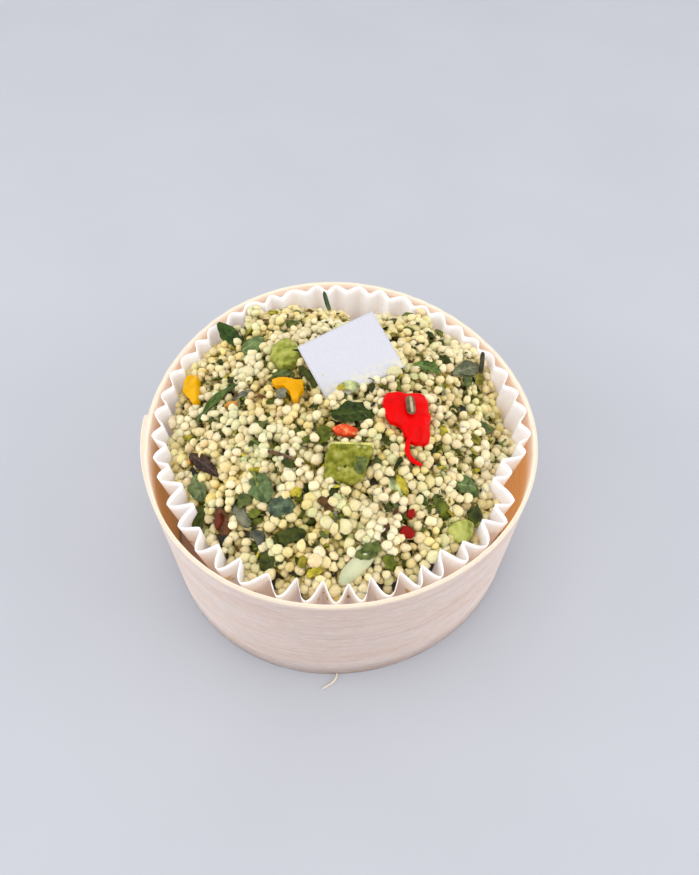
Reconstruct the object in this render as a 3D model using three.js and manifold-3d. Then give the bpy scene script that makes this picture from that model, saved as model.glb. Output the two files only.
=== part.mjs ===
// Couscous tabbouleh heaped in a round poplar veneer box with a pleated paper liner.
// Millimetres, +Z up. The origin is on the table under the middle of the box, and -Y is the front.
// The box is a bent veneer band whose outer end makes a small step on the left (-X), with a
// round base inside it. The paper liner stands inside the band in radial pleats, deepest at the
// front, and the salad is heaped in it, its middle above the rim. A blank card and the larger
// vegetables and leaves lie on the heap, each a piece of its own.

import * as THREE from 'three';
import { mergeVertices } from 'three/addons/utils/BufferGeometryUtils.js';
import Module from 'manifold-3d';

const wasm = await Module();
wasm.setup();

// ---------------------------------------------------------------- driving dimensions

// box
const BOX_RADIUS = 55;
const BOX_HEIGHT = 50;
const VENEER = 1.3;
const RIM_ROUNDING = 0.3;
const LAP_STEP = 1.3; // how far the band's outer end stands proud, at -X
const LAP_FADE = 32; // degrees over which the outer layer runs back into the round
const LAP_CLEFT = 0.4; // degrees between the outer layer's end and the layer under it
const BAND_SEGMENTS = 80;
const BASE_THICKNESS = 1.5;
const BASE_SEGMENTS = 60;
const FIT_GAP = 0.3; // between pieces that touch

// lobes of the hand-bent band: count, cosine share and sine share of the radius
const LOBES = [
  [2, -0.0145, -0.002],
  [3, 0.0116, -0.0097],
];

// paper liner
const PLEATS = 44;
const PLEAT_START = 2.25; // degrees
const PLEAT_CROWDING = 3; // degrees by which the pleats crowd towards the back
const LINER_TOP = 49.2;
const LINER_FLOOR = BASE_THICKNESS + FIT_GAP;
const PAPER = 0.34;
const PAPER_RADIAL = 0.7; // the paper of a pleat's slanted side, measured along the radius
const PLEAT_DEPTH_BACK = 2.6;
const PLEAT_DEPTH_FRONT = 5.6;
const DEEPENING_STARTS = 0.1; // sine of the angle at which the pleats start to deepen
const DEEPENING_ENDS = -0.6; // sine of the angle at which they are deepest
const PLEAT_DEPTH_AT_FLOOR = 0.35; // share of the depth that is left at the floor
const LINER_TAPER = 6; // how much narrower the liner is at its floor
const LINER_GAP = 0.4; // between the veneer and the pleats where they lie against it
const PULLED_IN = [
  { at: -148, spread: 28, by: 1.75 },
  { at: -17, spread: 7, by: 4.4 },
];

// salad
const CROWN = 56; // height of the heap's middle
const EDGE_LEVEL = 44.5; // height of its edge, without the swells
const DOME_POWER = 2.4;
const SWELLS = [
  { at: -90, spread: 40, by: 1 },
  { at: 10, spread: 10, by: -4 },
  { at: 34, spread: 7, by: 4 },
  { at: 60, spread: 9, by: 3.5 },
  { at: 84, spread: 9, by: -5.5 },
  { at: 125, spread: 8, by: 4.5 },
  { at: 160, spread: 12, by: 1.5 },
];
const HEAP_RINGS = 27;
const HEAP_CLEAR = 0.45; // between the heap and the liner
const GRAIN_PEAK = 0.7; // height of a raised point over the mean surface
const GRAIN_VALLEY = -0.55;
const PEAK_WANDER = [-0.3, 0.35];
const VALLEY_WANDER = [-0.3, 0.3];
const RING_WANDER = 0.12; // share of the rings' spacing by which a point leaves its ring
const TURN_WANDER = 9; // degrees by which a point of the first ring leaves its place
const SLIVER = 0.04; // a surface moves less than this where slivers are taken out

// what is scattered over the salad: pairs are the least and the most of an even spread
const LOOSE_GRAIN = { count: 20, radius: 1.3, width: [0.9, 1.1], height: [0.8, 1], lift: [0.7, 1.1] };
const HERB_FLAKE = {
  count: 12,
  length: [3.2, 5.4],
  slimness: [0.45, 0.8], // width as a share of the length
  thick: 0.6,
  arch: [0.3, 0.8],
  fold: [-0.5, 0.6],
  roll: [-0.5, 0.5], // radians
  pitch: [-0.35, 0.35], // radians
  lift: [0.5, 0.8],
  cells: [2, 2],
};

// forms of leaves and diced pieces
const LEAF_TIP = 0.12; // share of its width that a leaf keeps at its tips
const LEAF_ROUNDING = 0.6; // the less it is, the wider a leaf stays towards its tips
const RIPPLE_TURN = { along: 5, across: 2 }; // radians from a leaf's middle to its tip and its edge
const CHUNK_SQUARENESS = 3; // 2 is a ball, more is closer to a block
const CHUNK_LUMPS = { depth: 0.07, along: 3, across: 4 }; // radians of a lump's wave over half a chunk
const CHUNK_CLEAR = 0.08; // room that a chunk's hollow gets beyond the usual gap
const PIECE_REACH = 0.42; // share of a piece's length that scattered things keep away from it
const SLOPE_STEP = 3; // the slope under a piece is taken this far to each side of its middle

// card
const CARD = { width: 24.2, depth: 19, thick: 0.8 };
const CARD_CENTRE = [2.9, 15.7, 58.7];
const CARD_TILT = [20.3, -8.3, 28.5]; // degrees about X, Y and Z

// ---------------------------------------------------------------- numbers and forms

const rad = THREE.MathUtils.degToRad;
const clamp = THREE.MathUtils.clamp;
const random = seededRandom(20241);

function seededRandom(seed) {
  let state = seed;
  return () => {
    state = (state * 1664525 + 1013904223) % 4294967296;
    return state / 4294967296;
  };
}

const between = (low, high) => low + (high - low) * random();

// share of a smooth step that rises from 0 to 1 as t does
function smoothStep(t) {
  const s = clamp(t, 0, 1);
  return s * s * (3 - 2 * s);
}

// bell curve round the circle, 1 at its middle
function bell(degrees, { at, spread }) {
  const away = THREE.MathUtils.euclideanModulo(degrees - at + 180, 360) - 180;
  return Math.exp(-0.5 * (away / spread) ** 2);
}

const sumOfBells = (degrees, list) => list.reduce((sum, one) => sum + one.by * bell(degrees, one), 0);

// outer radius of the bent band, without the lap
function bandRadius(degrees) {
  const lobe = ([count, c, s]) => c * Math.cos(count * rad(degrees)) + s * Math.sin(count * rad(degrees));
  return BOX_RADIUS * (1 + LOBES.reduce((sum, one) => sum + lobe(one), 0));
}

const insideRadius = (degrees) => bandRadius(degrees) - VENEER;

// radius of the liner's outward folds at a share of its height, 0 at the floor and 1 at the top
function foldRadius(degrees, share) {
  const atTop = insideRadius(degrees) - LINER_GAP - sumOfBells(degrees, PULLED_IN);
  return atTop - LINER_TAPER * (1 - share);
}

function pleatDepth(degrees, share) {
  const forward = DEEPENING_STARTS - Math.sin(rad(degrees));
  const frontness = smoothStep(forward / (DEEPENING_STARTS - DEEPENING_ENDS));
  const atTop = THREE.MathUtils.lerp(PLEAT_DEPTH_BACK, PLEAT_DEPTH_FRONT, frontness);
  return atTop * THREE.MathUtils.lerp(PLEAT_DEPTH_AT_FLOOR, 1, share);
}

// radius of the heap at a share of the liner's height: it stays inside the pleats' inner tips
function heapRadius(degrees, share) {
  return foldRadius(degrees, share) - pleatDepth(degrees, share) - PAPER_RADIAL - HEAP_CLEAR;
}

const edgeHeight = (degrees) => EDGE_LEVEL + sumOfBells(degrees, SWELLS);

// radius of the heap's upper edge
function heapEdge(degrees) {
  const share = (edgeHeight(degrees) + GRAIN_VALLEY - LINER_FLOOR) / (LINER_TOP - LINER_FLOOR);
  return heapRadius(degrees, Math.min(share, 1));
}

// height of the heap's mean surface: a flat-topped dome that comes down to an uneven edge
function heapHeight(x, y) {
  const degrees = THREE.MathUtils.radToDeg(Math.atan2(y, x));
  const reach = Math.hypot(x, y) / heapEdge(degrees);
  return CROWN + (edgeHeight(degrees) - CROWN) * reach ** DOME_POWER;
}

// ---------------------------------------------------------------- closed skins

// A skin gathers points and triangles. Rings run anticlockwise seen from above, and faces
// point away from the solid.
class Skin {
  points = [];
  faces = [];

  point(x, y, z) {
    this.points.push(x, y, z);
    return this.points.length / 3 - 1;
  }

  ring(count, place) {
    return Array.from({ length: count }, (_, i) => this.point(...place(i)));
  }

  // faces between two rings of like count, outward where the second ring is the upper one
  band(first, second) {
    first.forEach((a, i) => {
      const j = (i + 1) % first.length;
      this.faces.push(a, first[j], second[j], a, second[j], second[i]);
    });
  }

  capAbove(ring, centre) {
    ring.forEach((a, i) => this.faces.push(centre, a, ring[(i + 1) % ring.length]));
  }

  capBelow(ring, centre) {
    ring.forEach((a, i) => this.faces.push(centre, ring[(i + 1) % ring.length], a));
  }

  geometry() {
    const geometry = new THREE.BufferGeometry();
    geometry.setAttribute('position', new THREE.Float32BufferAttribute(this.points, 3));
    geometry.setIndex(this.faces);
    geometry.computeVertexNormals();
    return geometry;
  }
}

const polar = (degrees, radius, z) => [radius * Math.cos(rad(degrees)), radius * Math.sin(rad(degrees)), z];

// ---------------------------------------------------------------- joins and cuts

function toManifold(geometry, matrix = new THREE.Matrix4()) {
  const bare = geometry.clone().applyMatrix4(matrix);
  bare.deleteAttribute('normal');
  bare.deleteAttribute('uv');
  const merged = mergeVertices(bare, 1e-4);
  const vertProperties = new Float32Array(merged.attributes.position.array);
  const triVerts = new Uint32Array(merged.index.array);
  return new wasm.Manifold(new wasm.Mesh({ numProp: 3, vertProperties, triVerts }));
}

function toGeometry(solid) {
  const { vertProperties, triVerts } = solid.getMesh();
  const geometry = new THREE.BufferGeometry();
  geometry.setAttribute('position', new THREE.BufferAttribute(vertProperties, 3));
  geometry.setIndex(new THREE.BufferAttribute(triVerts, 1));
  geometry.computeVertexNormals();
  return geometry;
}

// the largest body of a solid, which leaves loose scraps and sealed hollows out
function largestBody(solid) {
  return solid.decompose().reduce((best, one) => (one.volume() > best.volume() ? one : best));
}

// ---------------------------------------------------------------- box and liner

// Bent band: a closed loop of six rings round its section. The first and the last point of a
// ring stand at the lap, where the outer layer ends in a step.
function boxWall() {
  const skin = new Skin();
  const angle = (i) => -180 + (i * (360 - LAP_CLEFT)) / (BAND_SEGMENTS - 1);
  const lap = (degrees) => LAP_STEP * (1 - smoothStep((degrees + 180) / LAP_FADE));
  const outside = (inset, z) =>
    skin.ring(BAND_SEGMENTS, (i) => polar(angle(i), bandRadius(angle(i)) + lap(angle(i)) - inset, z));
  const inside = (inset, z) =>
    skin.ring(BAND_SEGMENTS, (i) => polar(angle(i), insideRadius(angle(i)) + inset, z));
  const loop = [
    outside(0, 0),
    outside(0, BOX_HEIGHT - RIM_ROUNDING),
    outside(RIM_ROUNDING, BOX_HEIGHT),
    inside(RIM_ROUNDING, BOX_HEIGHT),
    inside(0, BOX_HEIGHT - RIM_ROUNDING),
    inside(0, 0),
  ];
  loop.forEach((ring, i) => skin.band(ring, loop[(i + 1) % loop.length]));
  return skin.geometry();
}

// Round base inside the band, level with its lower edge.
function boxBase() {
  const skin = new Skin();
  const edge = (i) => (i * 360) / BASE_SEGMENTS;
  const disc = (z) => skin.ring(BASE_SEGMENTS, (i) => polar(edge(i), insideRadius(edge(i)) - FIT_GAP, z));
  const lower = disc(0);
  const upper = disc(BASE_THICKNESS);
  skin.band(lower, upper);
  skin.capBelow(lower, skin.point(0, 0, 0));
  skin.capAbove(upper, skin.point(0, 0, BASE_THICKNESS));
  return skin.geometry();
}

// Pleated cup: even points of a ring are outward folds, odd ones are inward tips. The outer
// skin goes up, the inner skin comes down to the cup's floor.
function paperLiner() {
  const skin = new Skin();
  const turn = (i) => PLEAT_START + (i * 180) / PLEATS;
  const angle = (i) => turn(i) + PLEAT_CROWDING * Math.cos(rad(turn(i)));
  const level = (share, inset, z) =>
    skin.ring(2 * PLEATS, (i) => {
      const fold = i % 2 === 0 ? 0 : pleatDepth(angle(i), share);
      return polar(angle(i), foldRadius(angle(i), share) - fold - inset, z);
    });
  const height = (share) => THREE.MathUtils.lerp(LINER_FLOOR, LINER_TOP, share);
  const rings = [
    level(0, 0, height(0)),
    level(0.5, 0, height(0.5)),
    level(1, 0, height(1)),
    level(1, PAPER_RADIAL, height(1)),
    level(0.5, PAPER_RADIAL, height(0.5)),
    level(0, PAPER_RADIAL, height(0) + PAPER),
  ];
  rings.slice(1).forEach((ring, i) => skin.band(rings[i], ring));
  skin.capBelow(rings[0], skin.point(0, 0, LINER_FLOOR));
  skin.capAbove(rings.at(-1), skin.point(0, 0, LINER_FLOOR + PAPER));
  return skin.geometry();
}

// ---------------------------------------------------------------- food shapes

// Leaf, strip or curl of skin: a thin solid on a grid along and across it. Its middle surface
// arches along its length, folds up or down away from its midrib and ripples. grow widens it
// all round for the hollow that it lies in.
function leafSkin(shape, grow = 0) {
  const { length, width, thick, arch = 0, fold = 0, ripple = 0, blunt = 2, cells = [5, 2] } = shape;
  const skin = new Skin();
  const [along, across] = cells;
  const grid = (side) =>
    Array.from({ length: along + 1 }, (_, i) =>
      skin.ring(across + 1, (j) => {
        const u = (2 * i) / along - 1;
        const fullness = (1 - Math.abs(u) ** blunt) ** LEAF_ROUNDING;
        const half = (width / 2) * THREE.MathUtils.lerp(LEAF_TIP, 1, fullness);
        const x = (length / 2 + grow) * u;
        const y = (half + grow) * ((2 * j) / across - 1);
        const p = (2 * x) / length;
        const q = (2 * y) / width;
        const wave = Math.sin(RIPPLE_TURN.along * p + RIPPLE_TURN.across * q);
        const middle = -arch * p * p + fold * q * q + ripple * wave;
        return [x, y, middle + side * (thick / 2 + grow)];
      })
    );
  const top = grid(1);
  const bottom = grid(-1);
  for (let i = 0; i < along; i += 1) {
    for (let j = 0; j < across; j += 1) {
      skin.faces.push(top[i][j], top[i + 1][j], top[i + 1][j + 1]);
      skin.faces.push(top[i][j], top[i + 1][j + 1], top[i][j + 1]);
      skin.faces.push(bottom[i][j], bottom[i + 1][j + 1], bottom[i + 1][j]);
      skin.faces.push(bottom[i][j], bottom[i][j + 1], bottom[i + 1][j + 1]);
    }
  }
  const edge = (rows) => [
    ...rows.map((row) => row[0]),
    ...rows.at(-1).slice(1),
    ...rows.slice(0, -1).reverse().map((row) => row.at(-1)),
    ...rows[0].slice(1, -1).reverse(),
  ];
  skin.band(edge(bottom), edge(top));
  return skin.geometry();
}

// Diced vegetable: a ball pressed towards a block, with uneven sides.
function chunkSkin({ length, width, thick, seed = 0, detail = 1 }, grow = 0) {
  const geometry = new THREE.IcosahedronGeometry(1, detail);
  const at = geometry.attributes.position;
  const point = new THREE.Vector3();
  for (let i = 0; i < at.count; i += 1) {
    point.fromBufferAttribute(at, i);
    const powers = point.toArray().map((part) => Math.abs(part) ** CHUNK_SQUARENESS);
    const square = (powers[0] + powers[1] + powers[2]) ** (-1 / CHUNK_SQUARENESS);
    const lumpAlong = Math.sin(CHUNK_LUMPS.along * point.x + 2 * seed);
    const lumpAcross = Math.cos(CHUNK_LUMPS.across * point.y - seed + point.z);
    point.multiplyScalar(square * (1 + CHUNK_LUMPS.depth * lumpAlong * lumpAcross));
    at.setXYZ(
      i,
      point.x * (length / 2 + grow),
      point.y * (width / 2 + grow),
      point.z * (thick / 2 + grow)
    );
  }
  return geometry;
}

// ---------------------------------------------------------------- pieces on the heap

// Each piece: its middle x and y, its heading in degrees, how far its middle stands above the
// mean surface (lift), its finish and its shape. It lies square to the slope under it.
const PIECES = {
  red_pepper: {
    x: 19.2, y: -3.2, heading: -52, lift: 2.1, colour: 0xe0120c, rough: 0.25,
    shape: {
      length: 16.5, width: 12.5, thick: 2.2, arch: 2.6, fold: -1.6, ripple: 0.3, blunt: 3, cells: [6, 3],
    },
  },
  red_pepper_curl: {
    x: 20.3, y: -14.2, heading: -95, lift: 1.2, colour: 0xe0120c, rough: 0.25,
    shape: { length: 6, width: 2.4, thick: 1.2, arch: 1.4, blunt: 4, cells: [4, 1] },
  },
  yellow_pepper_left: {
    x: -42.8, y: 11.6, heading: 78, lift: 0.9, colour: 0xf7b916, rough: 0.3, chunk: true,
    shape: { length: 8.6, width: 4.8, thick: 4.2, seed: 1 },
  },
  yellow_pepper_middle: {
    x: -14.4, y: 6, heading: -8, lift: 0.9, colour: 0xf7b916, rough: 0.3, chunk: true,
    shape: { length: 10.4, width: 6, thick: 4.4, seed: 2 },
  },
  green_tomato_middle: {
    x: 2.7, y: -17, heading: 8, lift: 1, colour: 0xa3a53c, rough: 0.3, chunk: true,
    shape: { length: 14.4, width: 11.6, thick: 5, seed: 3, detail: 2 },
  },
  green_tomato_back: {
    x: -16.6, y: 19.3, heading: 72, lift: 1, colour: 0xb0b24a, rough: 0.3, chunk: true,
    shape: { length: 10.8, width: 8.4, thick: 4, seed: 4 },
  },
  green_tomato_right: {
    x: 31.4, y: -31.4, heading: -18, lift: 0.8, colour: 0xb9bd5e, rough: 0.3, chunk: true,
    shape: { length: 8, width: 5.6, thick: 3.6, seed: 5 },
  },
  carrot_bit: {
    x: 1.6, y: -7.6, heading: -4, lift: 0.8, colour: 0xe0582a, rough: 0.4, chunk: true,
    shape: { length: 7.2, width: 2.8, thick: 2.2, seed: 6 },
  },
  onion_strip: {
    x: 5.4, y: -40.6, heading: 52, lift: 0.6, colour: 0xdedfbe, rough: 0.35,
    shape: { length: 11.5, width: 4.4, thick: 1.3, arch: 0.5, fold: -0.5, blunt: 4, cells: [4, 2] },
  },
  mint_leaf_middle: {
    x: 3.4, y: -1.7, heading: 4, lift: 1.1, colour: 0x3d5236, rough: 0.5,
    shape: { length: 11.4, width: 7, thick: 0.7, arch: 0.9, fold: 0.8, ripple: 0.3 },
  },
  mint_leaf_back: {
    x: -26.9, y: 26.2, heading: 28, lift: 1.1, colour: 0x5a7d5a, rough: 0.5,
    shape: { length: 7.8, width: 7, thick: 0.7, arch: 1, fold: -0.6, blunt: 3 },
  },
  mint_leaf_left: {
    x: -36.6, y: -20.8, heading: -66, lift: 0.9, colour: 0x4d7058, rough: 0.5,
    shape: { length: 8.6, width: 4.8, thick: 0.7, arch: 0.8, fold: 0.6 },
  },
  purple_leaf_left: {
    x: -36.8, y: -13.4, heading: -36, lift: 1.1, colour: 0x4a343a, rough: 0.55,
    shape: { length: 12, width: 4.2, thick: 0.7, arch: 0.8, fold: 0.7, ripple: 0.3, blunt: 3 },
  },
  purple_leaf_front: {
    x: -29.4, y: -31.4, heading: -74, lift: 1, colour: 0x4c4a34, rough: 0.55,
    shape: { length: 8.6, width: 3.6, thick: 0.7, arch: 0.6, ripple: 0.3 },
  },
  green_strip_left: {
    x: -34.8, y: 5, heading: 46, lift: 1.1, colour: 0x3f6b34, rough: 0.5,
    shape: {
      length: 15.6, width: 3.2, thick: 0.8, arch: 0.9, fold: 0.4, ripple: 0.35, blunt: 4, cells: [7, 2],
    },
  },
  dark_leaf_back_left: {
    x: -32.6, y: 34.2, heading: -58, lift: 2, colour: 0x36560f, rough: 0.5,
    shape: { length: 8, width: 5.2, thick: 0.7, arch: 0.6, fold: 0.4, blunt: 1.4 },
  },
  lobed_leaf_front: {
    x: -19.4, y: -22.8, heading: -66, lift: 1.1, colour: 0x4a6b4c, rough: 0.5,
    shape: { length: 8.4, width: 6, thick: 0.7, arch: 1, fold: 0.7, ripple: 0.2 },
  },
  lobed_leaf_front_tip: {
    x: -13.6, y: -28.6, heading: -4, lift: 1.1, colour: 0x56766b, rough: 0.5,
    shape: { length: 7, width: 5, thick: 0.7, arch: 0.9, fold: 0.6 },
  },
  olive_leaf_right: {
    x: 36.4, y: 19.8, heading: 26, lift: 1.7, colour: 0x62664d, rough: 0.5,
    shape: { length: 12.6, width: 6, thick: 0.7, arch: 1.2, fold: 1, ripple: 0.35 },
  },
  green_leaf_right: {
    x: 25, y: 16.4, heading: -10, lift: 1.2, colour: 0x4c7238, rough: 0.5,
    shape: { length: 8.4, width: 4, thick: 0.7, arch: 0.6, fold: 0.7 },
  },
  leaf_right_low: {
    x: 35, y: -19.8, heading: 8, lift: 1, colour: 0x4c7350, rough: 0.5,
    shape: { length: 7.8, width: 6, thick: 0.7, arch: 0.9, fold: -0.5, ripple: 0.25 },
  },
};

// Smaller leaves and bits that are fused to the heap.
const FUSED_PIECES = [
  {
    x: 42, y: 0.4, heading: -62, lift: 0.9,
    shape: { length: 6.6, width: 4.6, thick: 0.7, arch: 0.7, fold: 0.5 },
  },
  {
    x: 26.6, y: -24.6, heading: -78, lift: 0.9,
    shape: { length: 7, width: 4, thick: 0.7, arch: 0.7, fold: 0.5 },
  },
  {
    x: -23.4, y: -30.6, heading: 30, lift: 0.9,
    shape: { length: 5.4, width: 4.2, thick: 0.7, arch: 0.7 },
  },
  {
    x: 18.3, y: -33.6, heading: -55, lift: 0.8, chunk: true,
    shape: { length: 5.2, width: 3.2, thick: 2.4 },
  },
  {
    x: 18.9, y: -28.6, heading: 20, lift: 0.8, chunk: true,
    shape: { length: 3.4, width: 2.6, thick: 2.2 },
  },
];
const FUSED_CELLS = [3, 2];
const HERB_GREEN = 0x4f7a4c;

// mesh of a piece that stands on the heap, square to its slope
function placePiece(name, { x, y, heading, lift, colour = HERB_GREEN, rough = 0.5, chunk, shape }) {
  const geometry = chunk ? chunkSkin(shape) : leafSkin(shape);
  const mesh = named(name, geometry, { color: colour, roughness: rough });
  const slope = new THREE.Vector3(
    heapHeight(x - SLOPE_STEP, y) - heapHeight(x + SLOPE_STEP, y),
    heapHeight(x, y - SLOPE_STEP) - heapHeight(x, y + SLOPE_STEP),
    2 * SLOPE_STEP
  ).normalize();
  const upright = new THREE.Quaternion().setFromUnitVectors(new THREE.Vector3(0, 0, 1), slope);
  const turned = new THREE.Quaternion().setFromAxisAngle(new THREE.Vector3(0, 0, 1), rad(heading));
  mesh.quaternion.multiplyQuaternions(upright, turned);
  mesh.position.set(x, y, heapHeight(x, y) + lift);
  mesh.updateMatrix();
  return mesh;
}

// room that a placed piece needs in the heap
function hollowFor(mesh, { chunk, shape }) {
  const grown = chunk ? chunkSkin(shape, FIT_GAP + CHUNK_CLEAR) : leafSkin(shape, FIT_GAP);
  return toManifold(grown, mesh.matrix);
}

// ---------------------------------------------------------------- the heap

// Core of the heap: rings of points on the mean surface, each ring six points longer than the
// one inside it. One point in three is raised as a grain between six lowered ones. Below the
// last ring the side goes straight down to the liner's floor.
function heapCore() {
  const skin = new Skin();
  const centre = skin.point(0, 0, CROWN + GRAIN_PEAK);
  const steps = [[1, 0], [0, 1], [-1, 1], [-1, 0], [0, -1], [1, -1]];
  const isGrain = (ring, i) => {
    const sector = Math.floor(i / ring);
    const inSector = i % ring;
    const [q, r] = steps[sector];
    const [dq, dr] = steps[(sector + 2) % 6];
    return (ring * (q - r) + inSector * (dq - dr)) % 3 === 0;
  };
  const rings = [];
  for (let ring = 1; ring <= HEAP_RINGS; ring += 1) {
    const wander = ring === HEAP_RINGS ? 0 : 1;
    rings.push(
      skin.ring(6 * ring, (i) => {
        const degrees = (i * 60 + wander * between(-TURN_WANDER, TURN_WANDER)) / ring;
        const share = (ring + wander * between(-RING_WANDER, RING_WANDER)) / HEAP_RINGS;
        const [x, y] = polar(degrees, share * heapEdge(degrees), 0);
        const relief = wander && isGrain(ring, i)
          ? GRAIN_PEAK + between(...PEAK_WANDER)
          : GRAIN_VALLEY + wander * between(...VALLEY_WANDER);
        return [x, y, heapHeight(x, y) + relief];
      })
    );
  }
  skin.capAbove(rings[0], centre);
  for (let ring = 2; ring <= HEAP_RINGS; ring += 1) {
    const outer = rings[ring - 1];
    const inner = rings[ring - 2];
    for (let sector = 0; sector < 6; sector += 1) {
      for (let i = 0; i < ring; i += 1) {
        const a = outer[sector * ring + i];
        const b = outer[(sector * ring + i + 1) % outer.length];
        const c = inner[(sector * (ring - 1) + i) % inner.length];
        skin.faces.push(c, a, b);
        if (i < ring - 1) {
          skin.faces.push(c, b, inner[(sector * (ring - 1) + i + 1) % inner.length]);
        }
      }
    }
  }
  const floor = LINER_FLOOR + PAPER + FIT_GAP;
  const last = rings.at(-1);
  const turn = (i) => (i * 360) / last.length;
  const foot = skin.ring(last.length, (i) => polar(turn(i), heapRadius(turn(i), 0), floor));
  skin.band(foot, last);
  skin.capBelow(foot, skin.point(0, 0, floor));
  return toManifold(skin.geometry());
}

// a random spot on the heap that keeps clear of its edge and of the larger pieces
function freeSpot(margin, taken) {
  for (;;) {
    const degrees = between(-180, 180);
    const radius = (heapEdge(degrees) - margin) * Math.sqrt(random());
    const [x, y] = polar(degrees, radius, 0);
    if (taken.every((one) => Math.hypot(one.x - x, one.y - y) > one.reach + margin)) {
      return [x, y];
    }
  }
}

function looseGrain(taken) {
  const { radius, width, height, lift } = LOOSE_GRAIN;
  const [x, y] = freeSpot(radius, taken);
  const grain = new THREE.IcosahedronGeometry(radius, 0);
  grain.scale(between(...width), between(...width), between(...height));
  grain.rotateZ(between(0, Math.PI));
  grain.translate(x, y, heapHeight(x, y) + between(...lift));
  return toManifold(grain);
}

function herbFlake(taken) {
  const { thick, cells, roll, pitch, lift } = HERB_FLAKE;
  const length = between(...HERB_FLAKE.length);
  const [x, y] = freeSpot(length / 2, taken);
  const width = length * between(...HERB_FLAKE.slimness);
  const arch = between(...HERB_FLAKE.arch);
  const fold = between(...HERB_FLAKE.fold);
  const flake = leafSkin({ length, width, thick, arch, fold, cells });
  flake.rotateX(between(...roll));
  flake.rotateY(between(...pitch));
  flake.rotateZ(between(0, 2 * Math.PI));
  flake.translate(x, y, heapHeight(x, y) + between(...lift));
  return toManifold(flake);
}

function fusedPiece(piece) {
  const shape = piece.chunk ? { ...piece.shape, detail: 0 } : { ...piece.shape, cells: FUSED_CELLS };
  const mesh = placePiece('', { ...piece, shape });
  return toManifold(mesh.geometry, mesh.matrix);
}

// The core with loose grains and chopped herbs fused on, hollowed where the larger pieces lie.
function saladHeap(hollows, taken) {
  const scattered = [
    ...FUSED_PIECES.map(fusedPiece),
    ...Array.from({ length: LOOSE_GRAIN.count }, () => looseGrain(taken)),
    ...Array.from({ length: HERB_FLAKE.count }, () => herbFlake(taken)),
  ];
  const heaped = scattered.reduce((sum, one) => sum.add(one), heapCore());
  const hollowed = hollows.reduce((rest, one) => rest.subtract(one), heaped);
  return toGeometry(largestBody(hollowed.simplify(SLIVER)));
}

// ---------------------------------------------------------------- the object

function named(name, geometry, finish) {
  const mesh = new THREE.Mesh(geometry, new THREE.MeshStandardMaterial({ metalness: 0, ...finish }));
  mesh.name = name;
  return mesh;
}

function labelCard() {
  const card = new THREE.BoxGeometry(CARD.width, CARD.depth, CARD.thick);
  const mesh = named('label_card', card, { color: 0xf2eff4, roughness: 0.6 });
  mesh.rotation.set(...CARD_TILT.map(rad), 'ZYX');
  mesh.position.set(...CARD_CENTRE);
  mesh.updateMatrix();
  return mesh;
}

function cardHollow(mesh) {
  const grown = [CARD.width, CARD.depth, CARD.thick].map((size) => size + 2 * FIT_GAP);
  return toManifold(new THREE.BoxGeometry(...grown), mesh.matrix);
}

const group = new THREE.Group();
group.add(named('box_wall', boxWall(), { color: 0xe6d8cb, roughness: 0.7 }));
group.add(named('box_base', boxBase(), { color: 0xddcbb8, roughness: 0.7 }));
group.add(named('paper_liner', paperLiner(), { color: 0xf1ebe8, roughness: 0.6 }));

const card = labelCard();
const pieces = Object.entries(PIECES).map(([name, piece]) => placePiece(name, piece));
const hollows = [cardHollow(card), ...Object.values(PIECES).map((piece, i) => hollowFor(pieces[i], piece))];
const spotOf = ({ x, y, shape }) => ({ x, y, reach: PIECE_REACH * shape.length });
const taken = [...Object.values(PIECES), ...FUSED_PIECES].map(spotOf);
group.add(named('salad_heap', saladHeap(hollows, taken), { color: 0xe9dca6, roughness: 0.6 }));
group.add(card, ...pieces);

export default group;
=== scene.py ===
import bpy
import numpy as np
from mathutils import Matrix, Vector


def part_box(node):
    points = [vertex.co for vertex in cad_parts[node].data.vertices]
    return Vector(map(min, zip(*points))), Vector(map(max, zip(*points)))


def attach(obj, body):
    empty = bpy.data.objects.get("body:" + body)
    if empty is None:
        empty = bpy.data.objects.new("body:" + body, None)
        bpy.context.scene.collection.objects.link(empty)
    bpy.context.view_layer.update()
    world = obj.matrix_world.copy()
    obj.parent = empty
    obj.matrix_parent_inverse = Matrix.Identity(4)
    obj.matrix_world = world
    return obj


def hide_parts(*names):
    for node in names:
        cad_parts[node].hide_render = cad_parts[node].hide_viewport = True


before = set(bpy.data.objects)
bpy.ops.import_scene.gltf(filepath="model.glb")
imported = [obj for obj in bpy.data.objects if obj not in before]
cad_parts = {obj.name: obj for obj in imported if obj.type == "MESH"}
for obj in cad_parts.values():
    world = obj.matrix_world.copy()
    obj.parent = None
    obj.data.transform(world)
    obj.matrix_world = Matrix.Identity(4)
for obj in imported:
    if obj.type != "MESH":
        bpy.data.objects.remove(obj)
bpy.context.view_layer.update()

bl_info = {
    "name": "Tabbouleh in a veneer box",
    "version": (1, 0, 0),
    "blender": (4, 5, 0),
    "location": "View3D > Sidebar > Tabbouleh",
    "description": "Couscous tabbouleh heaped in a round poplar veneer box with a pleated paper liner",
    "category": "Add Mesh",
}

# ------------------------------------------------------------------ sizes, in metres and degrees

MM = 0.001

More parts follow.
